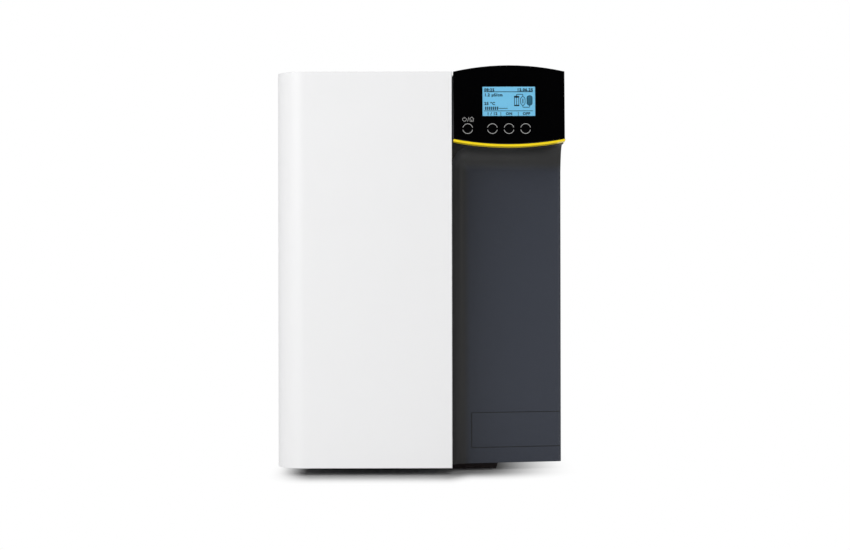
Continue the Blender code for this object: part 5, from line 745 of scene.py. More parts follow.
def turned(profile: list[Pair] | tuple[Pair, ...], steps: int) -> np.ndarray:
    """A grid of revolution: each (radius, height) pair, in millimetres, goes round the local z axis."""
    angle = np.linspace(0, 2 * math.pi, steps, endpoint=False)
    radius, height = np.array(profile, float).T[..., None] * MM
    return np.stack([radius * np.cos(angle), radius * np.sin(angle), height + 0 * angle], -1)


def upright(outline: np.ndarray, y: float) -> np.ndarray:
    """Pairs in local x and z as places at one y."""
    return np.insert(outline, 1, y, axis=1)


def slab(outline: np.ndarray, low: float, high: float, bevel: float = 0.0) -> np.ndarray:
    """A grid for a flat piece: an outline in local x and z, drawn out along y from low to high.

    Args:
        outline: pairs round the piece.
        low, high: where it starts and ends along y.
        bevel: how far its rims are cut back.

    Returns:
        Two rows, or four when there is a bevel.
    """
    second = unit(np.roll(outline, -1, axis=0) - outline)
    first = np.roll(second, 1, axis=0)
    away = np.stack([first[:, 1] + second[:, 1], -first[:, 0] - second[:, 0]], -1)
    away /= np.maximum(1 + (first * second).sum(1, keepdims=True), 0.3)
    turn = np.sign(np.cross(outline - outline.mean(0), second).sum())
    small = outline - away * bevel * turn
    rows = [(small, low), (outline, low + bevel), (outline, high - bevel), (small, high)]
    return np.stack([upright(*row) for row in (rows if bevel else rows[::3])])


def stroke(path: np.ndarray, width: float, low: float, high: float) -> np.ndarray:
    """A grid for a drawn line: a flat bar of even width along a path in local x and z."""
    along = unit(np.gradient(path, axis=0))
    side = np.stack([-along[:, 1], along[:, 0]], -1) * width / 2
    left, right = path + side, path - side
    corners = [(left, low), (right, low), (right, high), (left, high)]
    return np.stack([upright(*corner) for corner in corners], 1)


def arc(radius: float, start: float, stop: float, steps: int, centre: Pair) -> np.ndarray:
    """Pairs along an arc, its angles in degrees from local x towards z."""
    angle = np.radians(np.linspace(start, stop, steps))
    return np.array(centre) + radius * np.stack([np.cos(angle), np.sin(angle)], -1)


def box_outline(
    left: float, right: float, low: float, high: float, round_by: float = 0.0
) -> np.ndarray:
    """A rectangle's outline as pairs, with round corners if a radius is given."""
    if not round_by:
        return np.array([(left, low), (right, low), (right, high), (left, high)], float)
    spots = ((right, low, -90), (right, high, 0), (left, high, 90), (left, low, 180))
    inset = {right: right - round_by, left: left + round_by, low: low + round_by, high: high - round_by}
    rounds = [arc(round_by, turn, turn + 90, 8, (inset[x], inset[z])) for x, z, turn in spots]
    return np.concatenate(rounds)


def smooth_path(knots: tuple[tuple[Place, Place], ...], steps: int = 24) -> np.ndarray:
    """A cubic Hermite path: each span takes its end places and tangents, given in millimetres."""
    places, tangents = np.array(knots, float).swapaxes(0, 1) * MM
    t = np.linspace(0, 1, steps, endpoint=False)[None, :, None]
    p, q, m, n = places[:-1, None], places[1:, None], tangents[:-1, None], tangents[1:, None]
    spans = (2 * t**3 - 3 * t**2 + 1) * p + (t**3 - 2 * t**2 + t) * m
    spans += (3 * t**2 - 2 * t**3) * q + (t**3 - t**2) * n
    return np.concatenate([spans.reshape(-1, 3), places[-1:]])


def piped(path: np.ndarray, radius: float, steps: int = 20) -> np.ndarray:
    """A grid for a round pipe: at each station a circle square to the path, carried without twist."""
    along = unit(np.gradient(path, axis=0))
    side = np.cross(along[0], (0.3, 0.9, 0.2))
    sides = []
    for direction in along:
        side = unit(side - direction * (side @ direction))
        sides.append(side)
    first = np.array(sides)
    second = np.cross(along, first)
    angle = np.linspace(0, 2 * math.pi, steps, endpoint=False)[None, :, None]
    circle = np.cos(angle) * first[:, None] + np.sin(angle) * second[:, None]
    return path[:, None] + radius * circle


# ---------------------------------------------------------------- the workshop

class Slot(Enum):
    """The record's material slots, whose names are handed to place with added pieces."""

    BLACK = "gloss_black"
    SCREEN = "screen_blue"
    BRIGHT = "bright_steel"
    NATURAL = "natural_plastic"
    BLUE = "blue_plastic"
    BRASS = "brass"
    HOSE = "hose"


CAPITAL_SHARE = 0.7
"""A capital's height against the size of Blender's own font."""


def places_of(mesh: bpy.types.Mesh) -> np.ndarray:
    """A mesh's corners, one a row."""
    cloud = np.zeros(len(mesh.vertices) * 3)
    mesh.vertices.foreach_get("co", cloud)
    return cloud.reshape(-1, 3)


@dataclass
class Workshop:
    """The loaded frame and the finishes mixed so far."""

    frame: dict
    weld: float = 0.002 * MM
    crease: float = 35.0
    mixed: dict = field(default_factory=dict)

    def material(self, finish: object) -> bpy.types.Material:
        """The finish's material, mixed once for all its pieces."""
        if finish not in self.mixed:
            self.mixed[finish] = finish.build(f"{type(finish).__name__}_{len(self.mixed)}")
        return self.mixed[finish]

    def dress(self, finish: object, *nodes: str) -> None:
        """Gives CAD nodes a finish."""
        for name in nodes:
            self.frame["nodes"][name].data.materials[0] = self.material(finish)
        log.info("dressed %s in %s", ", ".join(nodes), type(finish).__name__)

    def place(
        self, name: str, mesh: bpy.types.Mesh, finish: object, body: str, slot: str, node: str = ""
    ) -> bpy.types.Object:
        """Puts a mesh in the scene.

        Args:
            name: the piece's name.
            mesh: its mesh.
            finish: its finish.
            body: the body it rides on.
            slot: not used.
            node: the CAD node that it takes the place of, if any.

        Returns:
            The object.
        """
        made = bpy.data.objects.new(name, mesh)
        mesh.materials.append(self.material(finish))
        bpy.context.scene.collection.objects.link(made)
        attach(made, body)
        if node:
            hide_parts(node)
        log.info("piece %s: %d faces on %s", name, len(mesh.polygons), body)
        return made

    def refine(
        self, finish: object, *nodes: str, reshape: Callable[[np.ndarray], np.ndarray] | None = None
    ) -> None:
        """Puts a smooth surface in the place of CAD nodes whose rounds would show their facets.

        Each node's loose triangles are joined where their corners meet. Its rounds are then shaded
        smooth, with each corner's normal ruled by the larger faces round it, so that flats stay flat.

        Args:
            finish: the finish of the surfaces.
            nodes: the CAD nodes.
            reshape: what moves the corners a little, or None where they stay.
        """
        for name in nodes:
            source = self.frame["nodes"][name]
            cloud = places_of(source.data)
            ends = np.zeros(len(source.data.loops), int)
            source.data.loops.foreach_get("vertex_index", ends)
            cells = np.round(cloud / self.weld).astype(int)
            _, first, joined = np.unique(cells, axis=0, return_index=True, return_inverse=True)
            faces = joined.ravel()[ends].reshape(-1, 3)
            whole = (faces != np.roll(faces, -1, axis=1)).all(1)
            spots = reshape(cloud[first]) if reshape else cloud[first]
            mesh = bpy.data.meshes.new(f"{name}_surface")
            mesh.from_pydata(spots.tolist(), [], faces[whole].tolist())
            mesh.shade_smooth()
            mesh.set_sharp_from_angle(angle=math.radians(self.crease))
            slot = source.data.materials[0].name.split(".")[0]
            made = self.place(f"{name}_surface", mesh, finish, source["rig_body"], slot, name)
            even = made.modifiers.new("even", "WEIGHTED_NORMAL")
            even.mode = "FACE_AREA"
            even.keep_sharp = True

    def piece(
        self, name: str, skin: Skin, finish: object, slot: Slot, body: str = "case", node: str = ""
    ) -> None:
        """Makes a piece from a skin.

        Args:
            name: the piece's name.
            skin: its surfaces, in the row frame.
            finish: its finish.
            slot: the record's slot, whose name is passed on to place.
            body: the body it rides on.
            node: the CAD node that it takes the place of, if any.
        """
        self.place(name, skin.mesh(name, self.crease), finish, body, slot.value, node)

    def lettering(
        self, name: str, lines: list[tuple[str, float, float, float]], stand: Stand, layer: Pair,
        finish: object, slot: Slot, body: str = "case", align: str = "CENTER", bold: float = 0.0,
        bend: float = 0.0,
    ) -> None:
        """Makes one flat piece of lettering from several texts.

        Args:
            name: the piece's name.
            lines: each text with its local x and z, in metres, and the height of its capitals.
            stand: the frame it lies in; the letters read from its -y side.
            layer: where the letters' faces lie along local y, the one nearer the reader first.
            finish: the ink.
            slot: the record's slot, whose name is passed on to place.
            body: the body it rides on.
            align: which way the texts start from their place.
            bold: how far the strokes are thickened, against the size.
            bend: the radius of the cylinder that they are wrapped on, or 0 where they lie flat.
        """
        points, faces, count = [], [], 0
        for text, x, z, height in lines:
            curve = bpy.data.curves.new(name, "FONT")
            curve.body = text
            curve.align_x = align
            curve.size = 1.0
            curve.extrude = 0.5
            curve.offset = bold
            curve.space_character = 1.0 + 3.0 * bold
            curve.resolution_u = 4
            holder = bpy.data.objects.new(name, curve)
            flat = bpy.data.meshes.new_from_object(holder)
            cloud = places_of(flat)
            scale = height / CAPITAL_SHARE
            depth = np.where(cloud[:, 2] > 0, *layer)
            local = np.stack([x + cloud[:, 0] * scale, depth, z + cloud[:, 1] * scale], -1)
            if bend:
                angle, reach = local[:, 0] / bend, bend - local[:, 1]
                local = np.stack([reach * np.sin(angle), -reach * np.cos(angle), local[:, 2]], -1)
            points.append(stand.world(local))
            faces += [[v + count for v in face.vertices] for face in flat.polygons]
            count += len(cloud)
            bpy.data.objects.remove(holder)
            bpy.data.curves.remove(curve)
            bpy.data.meshes.remove(flat)
        mesh = bpy.data.meshes.new(name)
        mesh.from_pydata(np.concatenate(points).tolist(), [], faces)
        mesh.update()
        self.place(name, mesh, finish, body, slot.value)


# ---------------------------------------------------------------- sub-assemblies

@dataclass
class Cabinet:
    """The white case, its door and what carries them."""

    white: Colour = (0.84, 0.84, 0.845)
    screw_count: int = 4
    shank: float = 1.5
    head_height: float = 2.2
    dome_height: float = 0.95
    slot_width: float = 0.9
    slot_depth: float = 1.2
    slot_rim: float = 0.15
    slot_share: float = 0.62
    zinc: Metal = Metal((0.60, 0.60, 0.60), 0.28, EVEN)

    def dress(self, shop: Workshop) -> None:
        """Satin mouldings outside, coated and zinc sheet inside."""
        shop.refine(Moulding(self.white, 0.42, 0.45 * MM, 0.008 * MM, 0.006), "front_door")
        shop.dress(PowderCoat(self.white, 0.42), "case_cover")
        shop.dress(PowderCoat((0.80, 0.80, 0.80), 0.45), "rear_panel")
        shop.dress(ZincSheet(), "base_pan", "hinge_post")
        shop.refine(Elastomer(), "front_foot", "rear_foot")
        pins = Metal((0.62, 0.62, 0.62), 0.26, (1.0, 1.0, 0.05))
        shop.dress(pins, "lower_hinge_pin", "upper_hinge_pin")
        shop.dress(Metal((0.60, 0.60, 0.60), 0.30, (1.0, 0.05, 1.0)), "door_strike")
        shop.dress(Moulding((0.02, 0.02, 0.02), 0.5), "door_magnet")

    def build(self, shop: Workshop) -> None:
        """Puts cross-recessed screws in the place of the plain ones at the back."""
        for index in range(1, self.screw_count + 1):
            node = f"rear_screw_{index}"
            low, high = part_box(node)
            grid = self.screw((high.y - low.y) / MM, (high.x - low.x) / 2 / MM)
            stand = TO_BACK.at((low.x + high.x) / 2, low.y, (low.z + high.z) / 2)
            shop.piece(f"{node}_turned", Skin().shell(grid, stand), self.zinc, Slot.BRIGHT, node=node)

    def screw(self, length: float, radius: float) -> np.ndarray:
        """A grid for a pan-head screw.

        The dome's height falls with the cube of the radius. The cross is where a place lies within
        half the slot's width of one axis, and within the slot's share of the radius along the other,
        each faded out over the slot's rim. It sinks only what lies on the dome.

        Args:
            length: the screw's whole length, in millimetres as all its sizes.
            radius: the head's radius.

        Returns:
            The grid: shank, head and dome.
        """
        seat = length - self.head_height
        profile = [
            (self.shank * 0.8, 0.0), (self.shank, 0.4), (self.shank, seat), (radius * 0.96, seat),
            (radius, seat + 0.3), (radius, length - 1.1),
        ]
        top = len(profile)
        dome = np.linspace(0.93, 0.01, 22)
        profile += [(radius * share, length - self.dome_height * share**3) for share in dome]
        grid = turned(profile, 64)
        reach = np.abs(grid[top:, :, :2]) / MM
        slot = np.clip((self.slot_width / 2 - reach.min(-1)) / self.slot_rim + 1, 0, 1)
        slot *= np.clip((radius * self.slot_share - reach.max(-1)) / self.slot_rim + 1, 0, 1)
        grid[top:, :, 2] -= self.slot_depth * MM * slot
        return grid


@dataclass
class Column:
    """The dark column with its niche, the plate on it and the bulkhead behind."""

    dark: Colour = (0.0312, 0.0375, 0.0552)

    def dress(self, shop: Workshop) -> None:
        """Satin dark moulding, with a plate of the same family."""
        shop.refine(CovedMoulding(self.dark, 0.42, 0.5 * MM, 0.010 * MM, 0.03), "column_cover")
        shop.dress(PlateMoulding(self.dark, 0.40, 0.4 * MM, 0.008 * MM, 0.03), "column_plate")
        shop.dress(PowderCoat((0.55, 0.56, 0.57), 0.42), "bulkhead")


@dataclass
class Screen:
    """The lit display behind its window: field, lines, figures and a drawing of the water's way."""

    width: float = 64.2 * MM
    height: float = 36.3 * MM
    middle: float = 56.35 * MM
    field_layer: Pair = (4.62 * MM, 4.77 * MM)
    ink_layer: Pair = (4.53 * MM, 4.61 * MM)
    overprint: float = 0.03 * MM
    rules: tuple = (
        ((1.7, 5.9), (61.6, 5.9), 0.85), ((1.7, 29.4), (61.6, 29.4), 0.75),
        ((22.3, 30.7), (22.3, 35.4), 0.6), ((43.6, 30.7), (43.6, 35.4), 0.6),
        ((19.6, 26.3), (30.6, 26.3), 0.8),
    )
    bars: int = 7
    bar_pitch: float = 2.4
    figures: tuple = (
        ("08:25", 2.3, 5.1, 3.4), ("12.06.25", 42.3, 5.1, 3.4), ("1.2 \u00b5S/cm", 2.3, 11.4, 3.4),
        ("25 \u00b0C", 2.3, 22.0, 3.4), ("1 / 12", 5.6, 34.4, 3.2), ("ON", 28.6, 34.4, 3.2),
        ("OFF", 49.2, 34.4, 3.2),
    )
    ink: Ink = Ink((0.003, 0.02, 0.04), 0.4)
    deep: Ink = Ink((0.001, 0.004, 0.010), 0.4)
    teal: Ink = Ink((0.026, 0.150, 0.235), 0.4, 0.45)

    def spot(self, u: float, v: float) -> Pair:
        """Local x and z of a place given in millimetres from the field's top left corner."""
        return u * MM - self.width / 2, self.middle + self.height / 2 - v * MM

    def line(self, skin: Skin, stand: Stand, ends: list[Pair], thick: float) -> None:
        """Adds a drawn line through places in millimetres."""
        path = softened([self.spot(*end) for end in ends], 1.2 * MM, 6)
        skin.shell(stroke(path, thick * MM, *self.ink_layer), stand)

    def patch(
        self, skin: Skin, stand: Stand, across: Pair, down: Pair, by: float, over: float = 0.0
    ) -> None:
        """Adds a filled box.

        Args:
            skin: what it is added to.
            stand: the head's frame.
            across: its left and right, in millimetres.
            down: its top and its foot.
            by: the radius of its corners.
            over: how many overprints it lies nearer the reader.
        """
        (x0, z1), (x1, z0) = (self.spot(*corner) for corner in zip(across, down))
        front, back = self.ink_layer
        outline = box_outline(x0, x1, z0, z1, by * MM)
        skin.shell(slab(outline, front - over * self.overprint, back), stand)

    def build(self, shop: Workshop, stand: Stand) -> None:
        """Makes the field, its rules, gauge, drawing and figures."""
        half = self.width / 2
        outline = box_outline(-half, half, -self.height / 2, self.height / 2)
        at_middle = stand.at(*stand.world(np.array([0.0, 0.0, self.middle])))
        field_skin = Skin().shell(slab(outline, *self.field_layer), at_middle, True)
        shop.piece("display_field", field_skin, LitPanel(), Slot.SCREEN)
        rules = Skin()
        for start, end, thick in self.rules:
            self.line(rules, stand, [start, end], thick)
        for index in range(self.bars):
            left = 3.2 + self.bar_pitch * index
            self.patch(rules, stand, (left, left + 1.55), (24.2, 28.2), 0.15)
        shop.piece("display_rules", rules, self.ink, Slot.SCREEN)
        self.drawing(shop, stand)
        lines = [(text, *self.spot(u, v), cap * MM) for text, u, v, cap in self.figures]
        shop.lettering(
            "display_figures", lines, stand, self.ink_layer, self.deep, Slot.SCREEN,
            align="LEFT", bold=0.05,
        )

    def drawing(self, shop: Workshop, stand: Stand) -> None:
        """Makes a filter vessel, a membrane vessel, a full tank and the pipes between them."""
        pipes, vessels, tank = Skin(), Skin(), Skin()
        for down in ((11.0, 13.2), (22.0, 23.6)):
            self.patch(vessels, stand, (38.5, 44.9), down, 0.5)
        for across in (39.1, 41.7, 44.3):
            self.line(vessels, stand, [(across, 13.0), (across, 22.2)], 0.75)
        shoulder = [
            (46.6, 14.0), (49.3, 11.2), (52.0, 14.0), (52.0, 20.4), (49.3, 23.2), (46.6, 20.4),
            (46.6, 14.0), (49.3, 11.2),
        ]
        self.line(vessels, stand, shoulder, 0.75)
        self.line(vessels, stand, [(49.3, 14.4), (49.3, 20.2)], 1.1)
        for skin, inset in ((vessels, 0.0), (tank, 0.75)):
            across, down = (54.0 + inset, 61.0 - inset), (10.4 + inset, 22.8 - inset)
            self.patch(skin, stand, across, down, 3.0 - inset, inset)
        self.line(pipes, stand, [(41.7, 11.0), (41.7, 9.0), (49.3, 9.0), (49.3, 11.4)], 0.8)
        self.line(pipes, stand, [(49.3, 23.0), (49.3, 25.0), (57.5, 25.0), (57.5, 22.6)], 0.8)
        shop.piece("display_pipes", pipes, self.ink, Slot.SCREEN)
        shop.piece("display_vessels", vessels, self.deep, Slot.SCREEN)
        shop.piece("display_tank", tank, self.teal, Slot.SCREEN)


@dataclass
class DisplayHead:
    """The tilted head: gloss bezel, yellow strip, window, keys and their printing."""

    origin: Place = (0.1074, -0.2493, 0.3994)
    lean: float = 0.080285
    key_height: float = 22.7 * MM
    key_places: tuple = (
        ("power_button", -50.3 * MM), ("left_button", -20.2 * MM), ("middle_button", 0.0),
        ("right_button", 20.2 * MM),
    )
    ring_radius: float = 6.0 * MM
    ring_width: float = 0.72 * MM
    ring_gap: float = 13.0
    print_layer: Pair = (-0.05 * MM, 0.03 * MM)
    sign_height: float = 34.1 * MM
    sign_width: float = 0.56 * MM
    sign_circle: Place = (-3.9, 0.0, 2.3)
    sign_lines: tuple = (
        ((-3.9, 0.9), (-3.9, 2.9)),
        ((-0.2, -2.7), (1.3, 2.7)),
        ((2.9, -2.3), (2.9, 0.5), (2.2, 0.5), (4.9, 2.9), (7.6, 0.5), (6.9, 0.5), (6.9, -2.3),
         (2.9, -2.3)),
        ((4.9, -2.0), (4.9, -0.3)),
    )
    half_width: float = 67.4 * MM
    bow: float = 6.6 * MM
    underside: float = 1.2 * MM
    strip_back: float = 11.8 * MM
    housing_run: float = 22.2 * MM
    taper_rise: float = 4.4 * MM
    taper_fade: float = 4.5 * MM
    grey: Ink = Ink((0.34, 0.34, 0.33), 0.45)
    screen: Screen = field(default_factory=Screen)

    def stand(self) -> Stand:
        """The head's own frame, leaning back from its foot."""
        c, s = math.cos(self.lean), math.sin(self.lean)
        return Stand(self.origin, (1.0, 0.0, 0.0), (0.0, c, -s), (0.0, s, c))

    def dress(self, shop: Workshop) -> None:
        """Mirror black in front, grey housing behind, yellow strip below."""
        shop.refine(Gloss((0.0006, 0.0006, 0.0008), 0.06, 0.35), "head_bezel")
        keys = Gloss((0.0008, 0.0008, 0.001), 0.12, 0.35)
        shop.refine(keys, "power_key", "left_key", "middle_key", "right_key")
        shop.refine(Gloss((0.93, 0.70, 0.010), 0.22, 0.4), "trim_strip")
        shop.refine(Moulding((0.13, 0.13, 0.13), 0.42), "head_housing", reshape=self.taper)
        shop.dress(Pane(), "display_window")
        shop.dress(Moulding((0.012, 0.012, 0.014), 0.5), "display_module")
        shop.dress(CircuitBoard(0, 2), "key_board")

    def taper(self, spots: np.ndarray) -> np.ndarray:
        """Lifts the housing's underside towards its back, which keeps it behind the strip.

        A corner rises by the full lift, times its share of the way from the strip to the housing's
        back, times 1 on the bowed underside fading to 0 at the fade's height above it.

        Args:
            spots: the housing's corners in the row frame.

        Returns:
            The moved corners.
        """
        stand = self.stand()
        x, y, z = stand.local(spots).T
        above = z - self.bow * (x / self.half_width) ** 2 - self.underside
        inward = np.clip((y - self.strip_back) / self.housing_run, 0, 1)
        rise = self.taper_rise * inward * np.clip(1 - above / self.taper_fade, 0, 1)
        return stand.world(np.stack([x, y, z + rise], -1))

    def build(self, shop: Workshop) -> None:
        """Prints the rings and the signs by the first key, and fills the screen."""
        stand = self.stand()
        self.screen.build(shop, stand)
        for body, x in self.key_places:
            ring = Skin()
            for start in (self.ring_gap, 180 + self.ring_gap):
                stop = start + 180 - 2 * self.ring_gap
                path = arc(self.ring_radius, start, stop, 64, (x, self.key_height))
                ring.shell(stroke(path, self.ring_width, *self.print_layer), stand)
            shop.piece(f"{body}_ring", ring, self.grey, Slot.BLACK, body)
        shop.piece("power_sign", self.sign(stand), self.grey, Slot.BLACK)

    def sign(self, stand: Stand) -> Skin:
        """An open circle with a bar, a slash and a small house, printed over the first key."""
        skin = Skin()
        middle = np.array([self.key_places[0][1], self.sign_height])
        *centre, radius = self.sign_circle
        lines = [arc(radius, 115, 425, 40, centre)]
        lines += [softened(list(corners), 0.25, 4) for corners in self.sign_lines]
        for line in lines:
            skin.shell(stroke(middle + line * MM, self.sign_width, *self.print_layer), stand)
        return skin


@dataclass
class WaterSide:
    """What hangs behind the door: carrier, cartridge, membrane modules, pump, valve and hoses."""

    hose_radius: float = 3.0
    routes: tuple = (
        ("inlet_hose", (((0, 212.9, 147), (0, -45, 0)), ((17.9, 187.8, 163), (0, -45, 0)))),
        ("feed_hose", (
            ((17.9, 121.2, 163), (0, -80, 0)), ((-30, 60, 215), (-100, -50, 110)),
            ((-84, -12, 390), (-20, -15, 200)), ((-86, -20, 462), (0, -12, 60)),
            ((-86, -46, 481), (0, -50, 4)), ((-86, -95, 479), (0, -60, -2)),
            ((-86, -134, 452.8), (0, 0, -55)))),
        ("pump_inlet_hose", (
            ((-122, -134, 452.8), (0, 0, 55)), ((-122, -95, 479), (0, 60, 2)),
            ((-122, -46, 481), (0, 50, -4)), ((-120, -20, 462), (2, 12, -60)),
            ((-106, 40, 190), (-104, 0, -200)), ((-104, 45, 131.3), (0, 0, -50)))),
        ("pump_outlet_hose", (
            ((-76, 45, 131.3), (0, 0, 50)), ((-50, 44, 155), (45, 0, 5)),
            ((8.7, 20, 85), (10, -20, -70)), ((8.7, -30, 33), (0, -40, -10)),
            ((8.7, -112, 27.5), (0, -80, 0)), ((8.7, -190, 56.2), (0, 0, 50)))),
        ("module_link_hose", (((-3.3, -190, 449.8), (0, 0, 102)), ((-3.3, -108, 449.8), (0, 0, -102)))),
        ("product_hose", (
            ((-15.3, -108, 56.2), (0, 0, -50)), ((-15.3, -75, 28.5), (0, 40, -2)),
            ((-16, 5, 25), (0, 70, 2)), ((-2, 160, 105), (12, 60, 25)), ((0, 212.9, 111), (0, 60, 0)))),
        ("drain_hose", (
            ((-3.3, -96, 56.2), (0, 0, -45)), ((-3.3, -65, 28.5), (0, 38, -2)),
            ((-3.4, 5, 26.5), (0, 70, 1)), ((-0.4, 150, 68), (2, 70, 14)),
            ((0, 212.9, 75), (0, 60, 0)))),
    )
    stages: tuple = (
        ("cartridge_band", "cartridge", (-104, -134), 52.0, (300, 344), "1", 16.0),
        ("front_module_band", "case", (-3.3, -190), 32.0, (262, 292), "2", 11.0),
        ("rear_module_band", "case", (-3.3, -108), 32.0, (262, 292), "3", 11.0),
    )
    film_layer: Pair = (0.06, 0.28)
    number_layer: Pair = (-0.54 * MM, -0.2 * MM)
    pump_axis: float = 86 * MM
    bolt_circle: float = 26 * MM
    bolt_profile: tuple = ((3.3, -0.2), (3.3, 2.2), (3.0, 2.6), (1.75, 2.6), (1.6, 1.0), (0.05, 0.9))
    tube: Tubing = Tubing((0.82, 0.84, 0.86))
    acetal: Moulding = Moulding((0.05, 0.19, 0.46), 0.3)
    film: Moulding = Moulding((0.035, 0.15, 0.38), 0.3, 0.2 * MM, 0.002 * MM)
    white_ink: Ink = Ink((0.85, 0.86, 0.87), 0.4)

    def dress(self, shop: Workshop) -> None:
        """Natural and blue plastics, brass valve, painted motor."""
        natural = Moulding((0.80, 0.80, 0.76), 0.35, 0.4 * MM, 0.006 * MM)
        blue = Moulding((0.05, 0.19, 0.46), 0.38)
        shop.dress(ZincSheet(), "module_carrier")
        shop.refine(natural, "pretreatment_cartridge")
        caps, shell = Tone((0.05, 0.19, 0.46), 0.4), Tone((0.80, 0.81, 0.80), 0.28)
        modules = Zoned(caps, shell, 2, (80.5 * MM, 425.5 * MM))
        shop.refine(modules, "front_membrane_module", "rear_membrane_module")
        shop.refine(blue, "bayonet_head")
        shop.refine(Moulding((0.03, 0.03, 0.033), 0.45), "upper_module_clip", "lower_module_clip")
        shop.refine(Elastomer(), "cartridge_seal", "left_pump_mount", "right_pump_mount")
        shop.refine(Moulding((0.025, 0.025, 0.027), 0.5), "pump_head")
        shop.refine(PowderCoat((0.05, 0.05, 0.06), 0.36), "pump_motor")
        shop.refine(ZincSheet(), "pump_cradle")
        brass, coil = Tone((0.72, 0.52, 0.22), 0.3, 1.0), Tone((0.02, 0.02, 0.022), 0.45)
        shop.refine(Zoned(coil, brass, 2, (149 * MM, 176.2 * MM)), "inlet_valve")

    def build(self, shop: Workshop) -> None:
        """Runs the smooth hoses in the place of the stiff ones, with a collar at each end."""
        for name, knots in self.routes:
            path = smooth_path(knots)
            skin = Skin().shell(piped(path, self.hose_radius * MM))
            shop.piece(f"{name}_tube", skin, self.tube, Slot.HOSE, node=name)
            collars = Skin()
            for end, inside in ((path[0], path[1]), (path[-1], path[-2])):
                self.collar(collars, end, unit(end - inside))
            shop.piece(f"{name}_collars", collars, self.acetal, Slot.BLUE)
        self.bands(shop)
        self.pump_bolts(shop)

    def collar(self, skin: Skin, end: np.ndarray, way: np.ndarray) -> None:
        """Adds a release collar round a hose's end, way being outward along the hose there."""
        bore, rim = self.hose_radius + 0.08, self.hose_radius + 1.5
        profile = [
            (bore, 0.0), (rim, 0.0), (rim, -1.0), (rim - 0.7, -1.3), (rim - 0.7, -2.8),
            (rim - 1.0, -3.1), (bore, -3.1),
        ]
        across = unit(np.cross(way, (0.31, 0.22, 0.93)))
        stand = Stand(tuple(end), tuple(across), tuple(np.cross(way, across)), tuple(way))
        skin.shell(turned(profile, 32), stand, loop=True)

    def bands(self, shop: Workshop) -> None:
        """Puts plain bands and stage numbers on the cartridge and on both membrane modules."""
        for name, body, (x, y), radius, (low, high), number, height in self.stages:
            inner, outer = (radius + rise for rise in self.film_layer)
            stand = WORLD.at(x * MM, y * MM, 0.0)
            profile = [(inner, low), (outer, low), (outer, high), (inner, high)]
            skin = Skin().shell(turned(profile, 96), stand, loop=True)
            shop.piece(name, skin, self.film, Slot.BLUE, body)
            text = [(number, 0.0, (low + high - height) / 2 * MM, height * MM)]
            shop.lettering(
                f"{name}_number", text, stand, self.number_layer, self.white_ink, Slot.NATURAL, body,
                bend=inner * MM,
            )

    def pump_bolts(self, shop: Workshop) -> None:
        """Sets four socket bolts in the pump head's face."""
        skin = Skin()
        low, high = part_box("pump_head")
        x, z = (low.x + high.x) / 2, self.pump_axis
        for across, up in arc(self.bolt_circle, 45, 315, 4, (x, z)):
            skin.shell(turned(self.bolt_profile, 24), TO_FRONT.at(across, low.y, up))
        shop.piece("pump_head_bolts", skin, Metal((0.58, 0.58, 0.58), 0.3), Slot.BRIGHT)


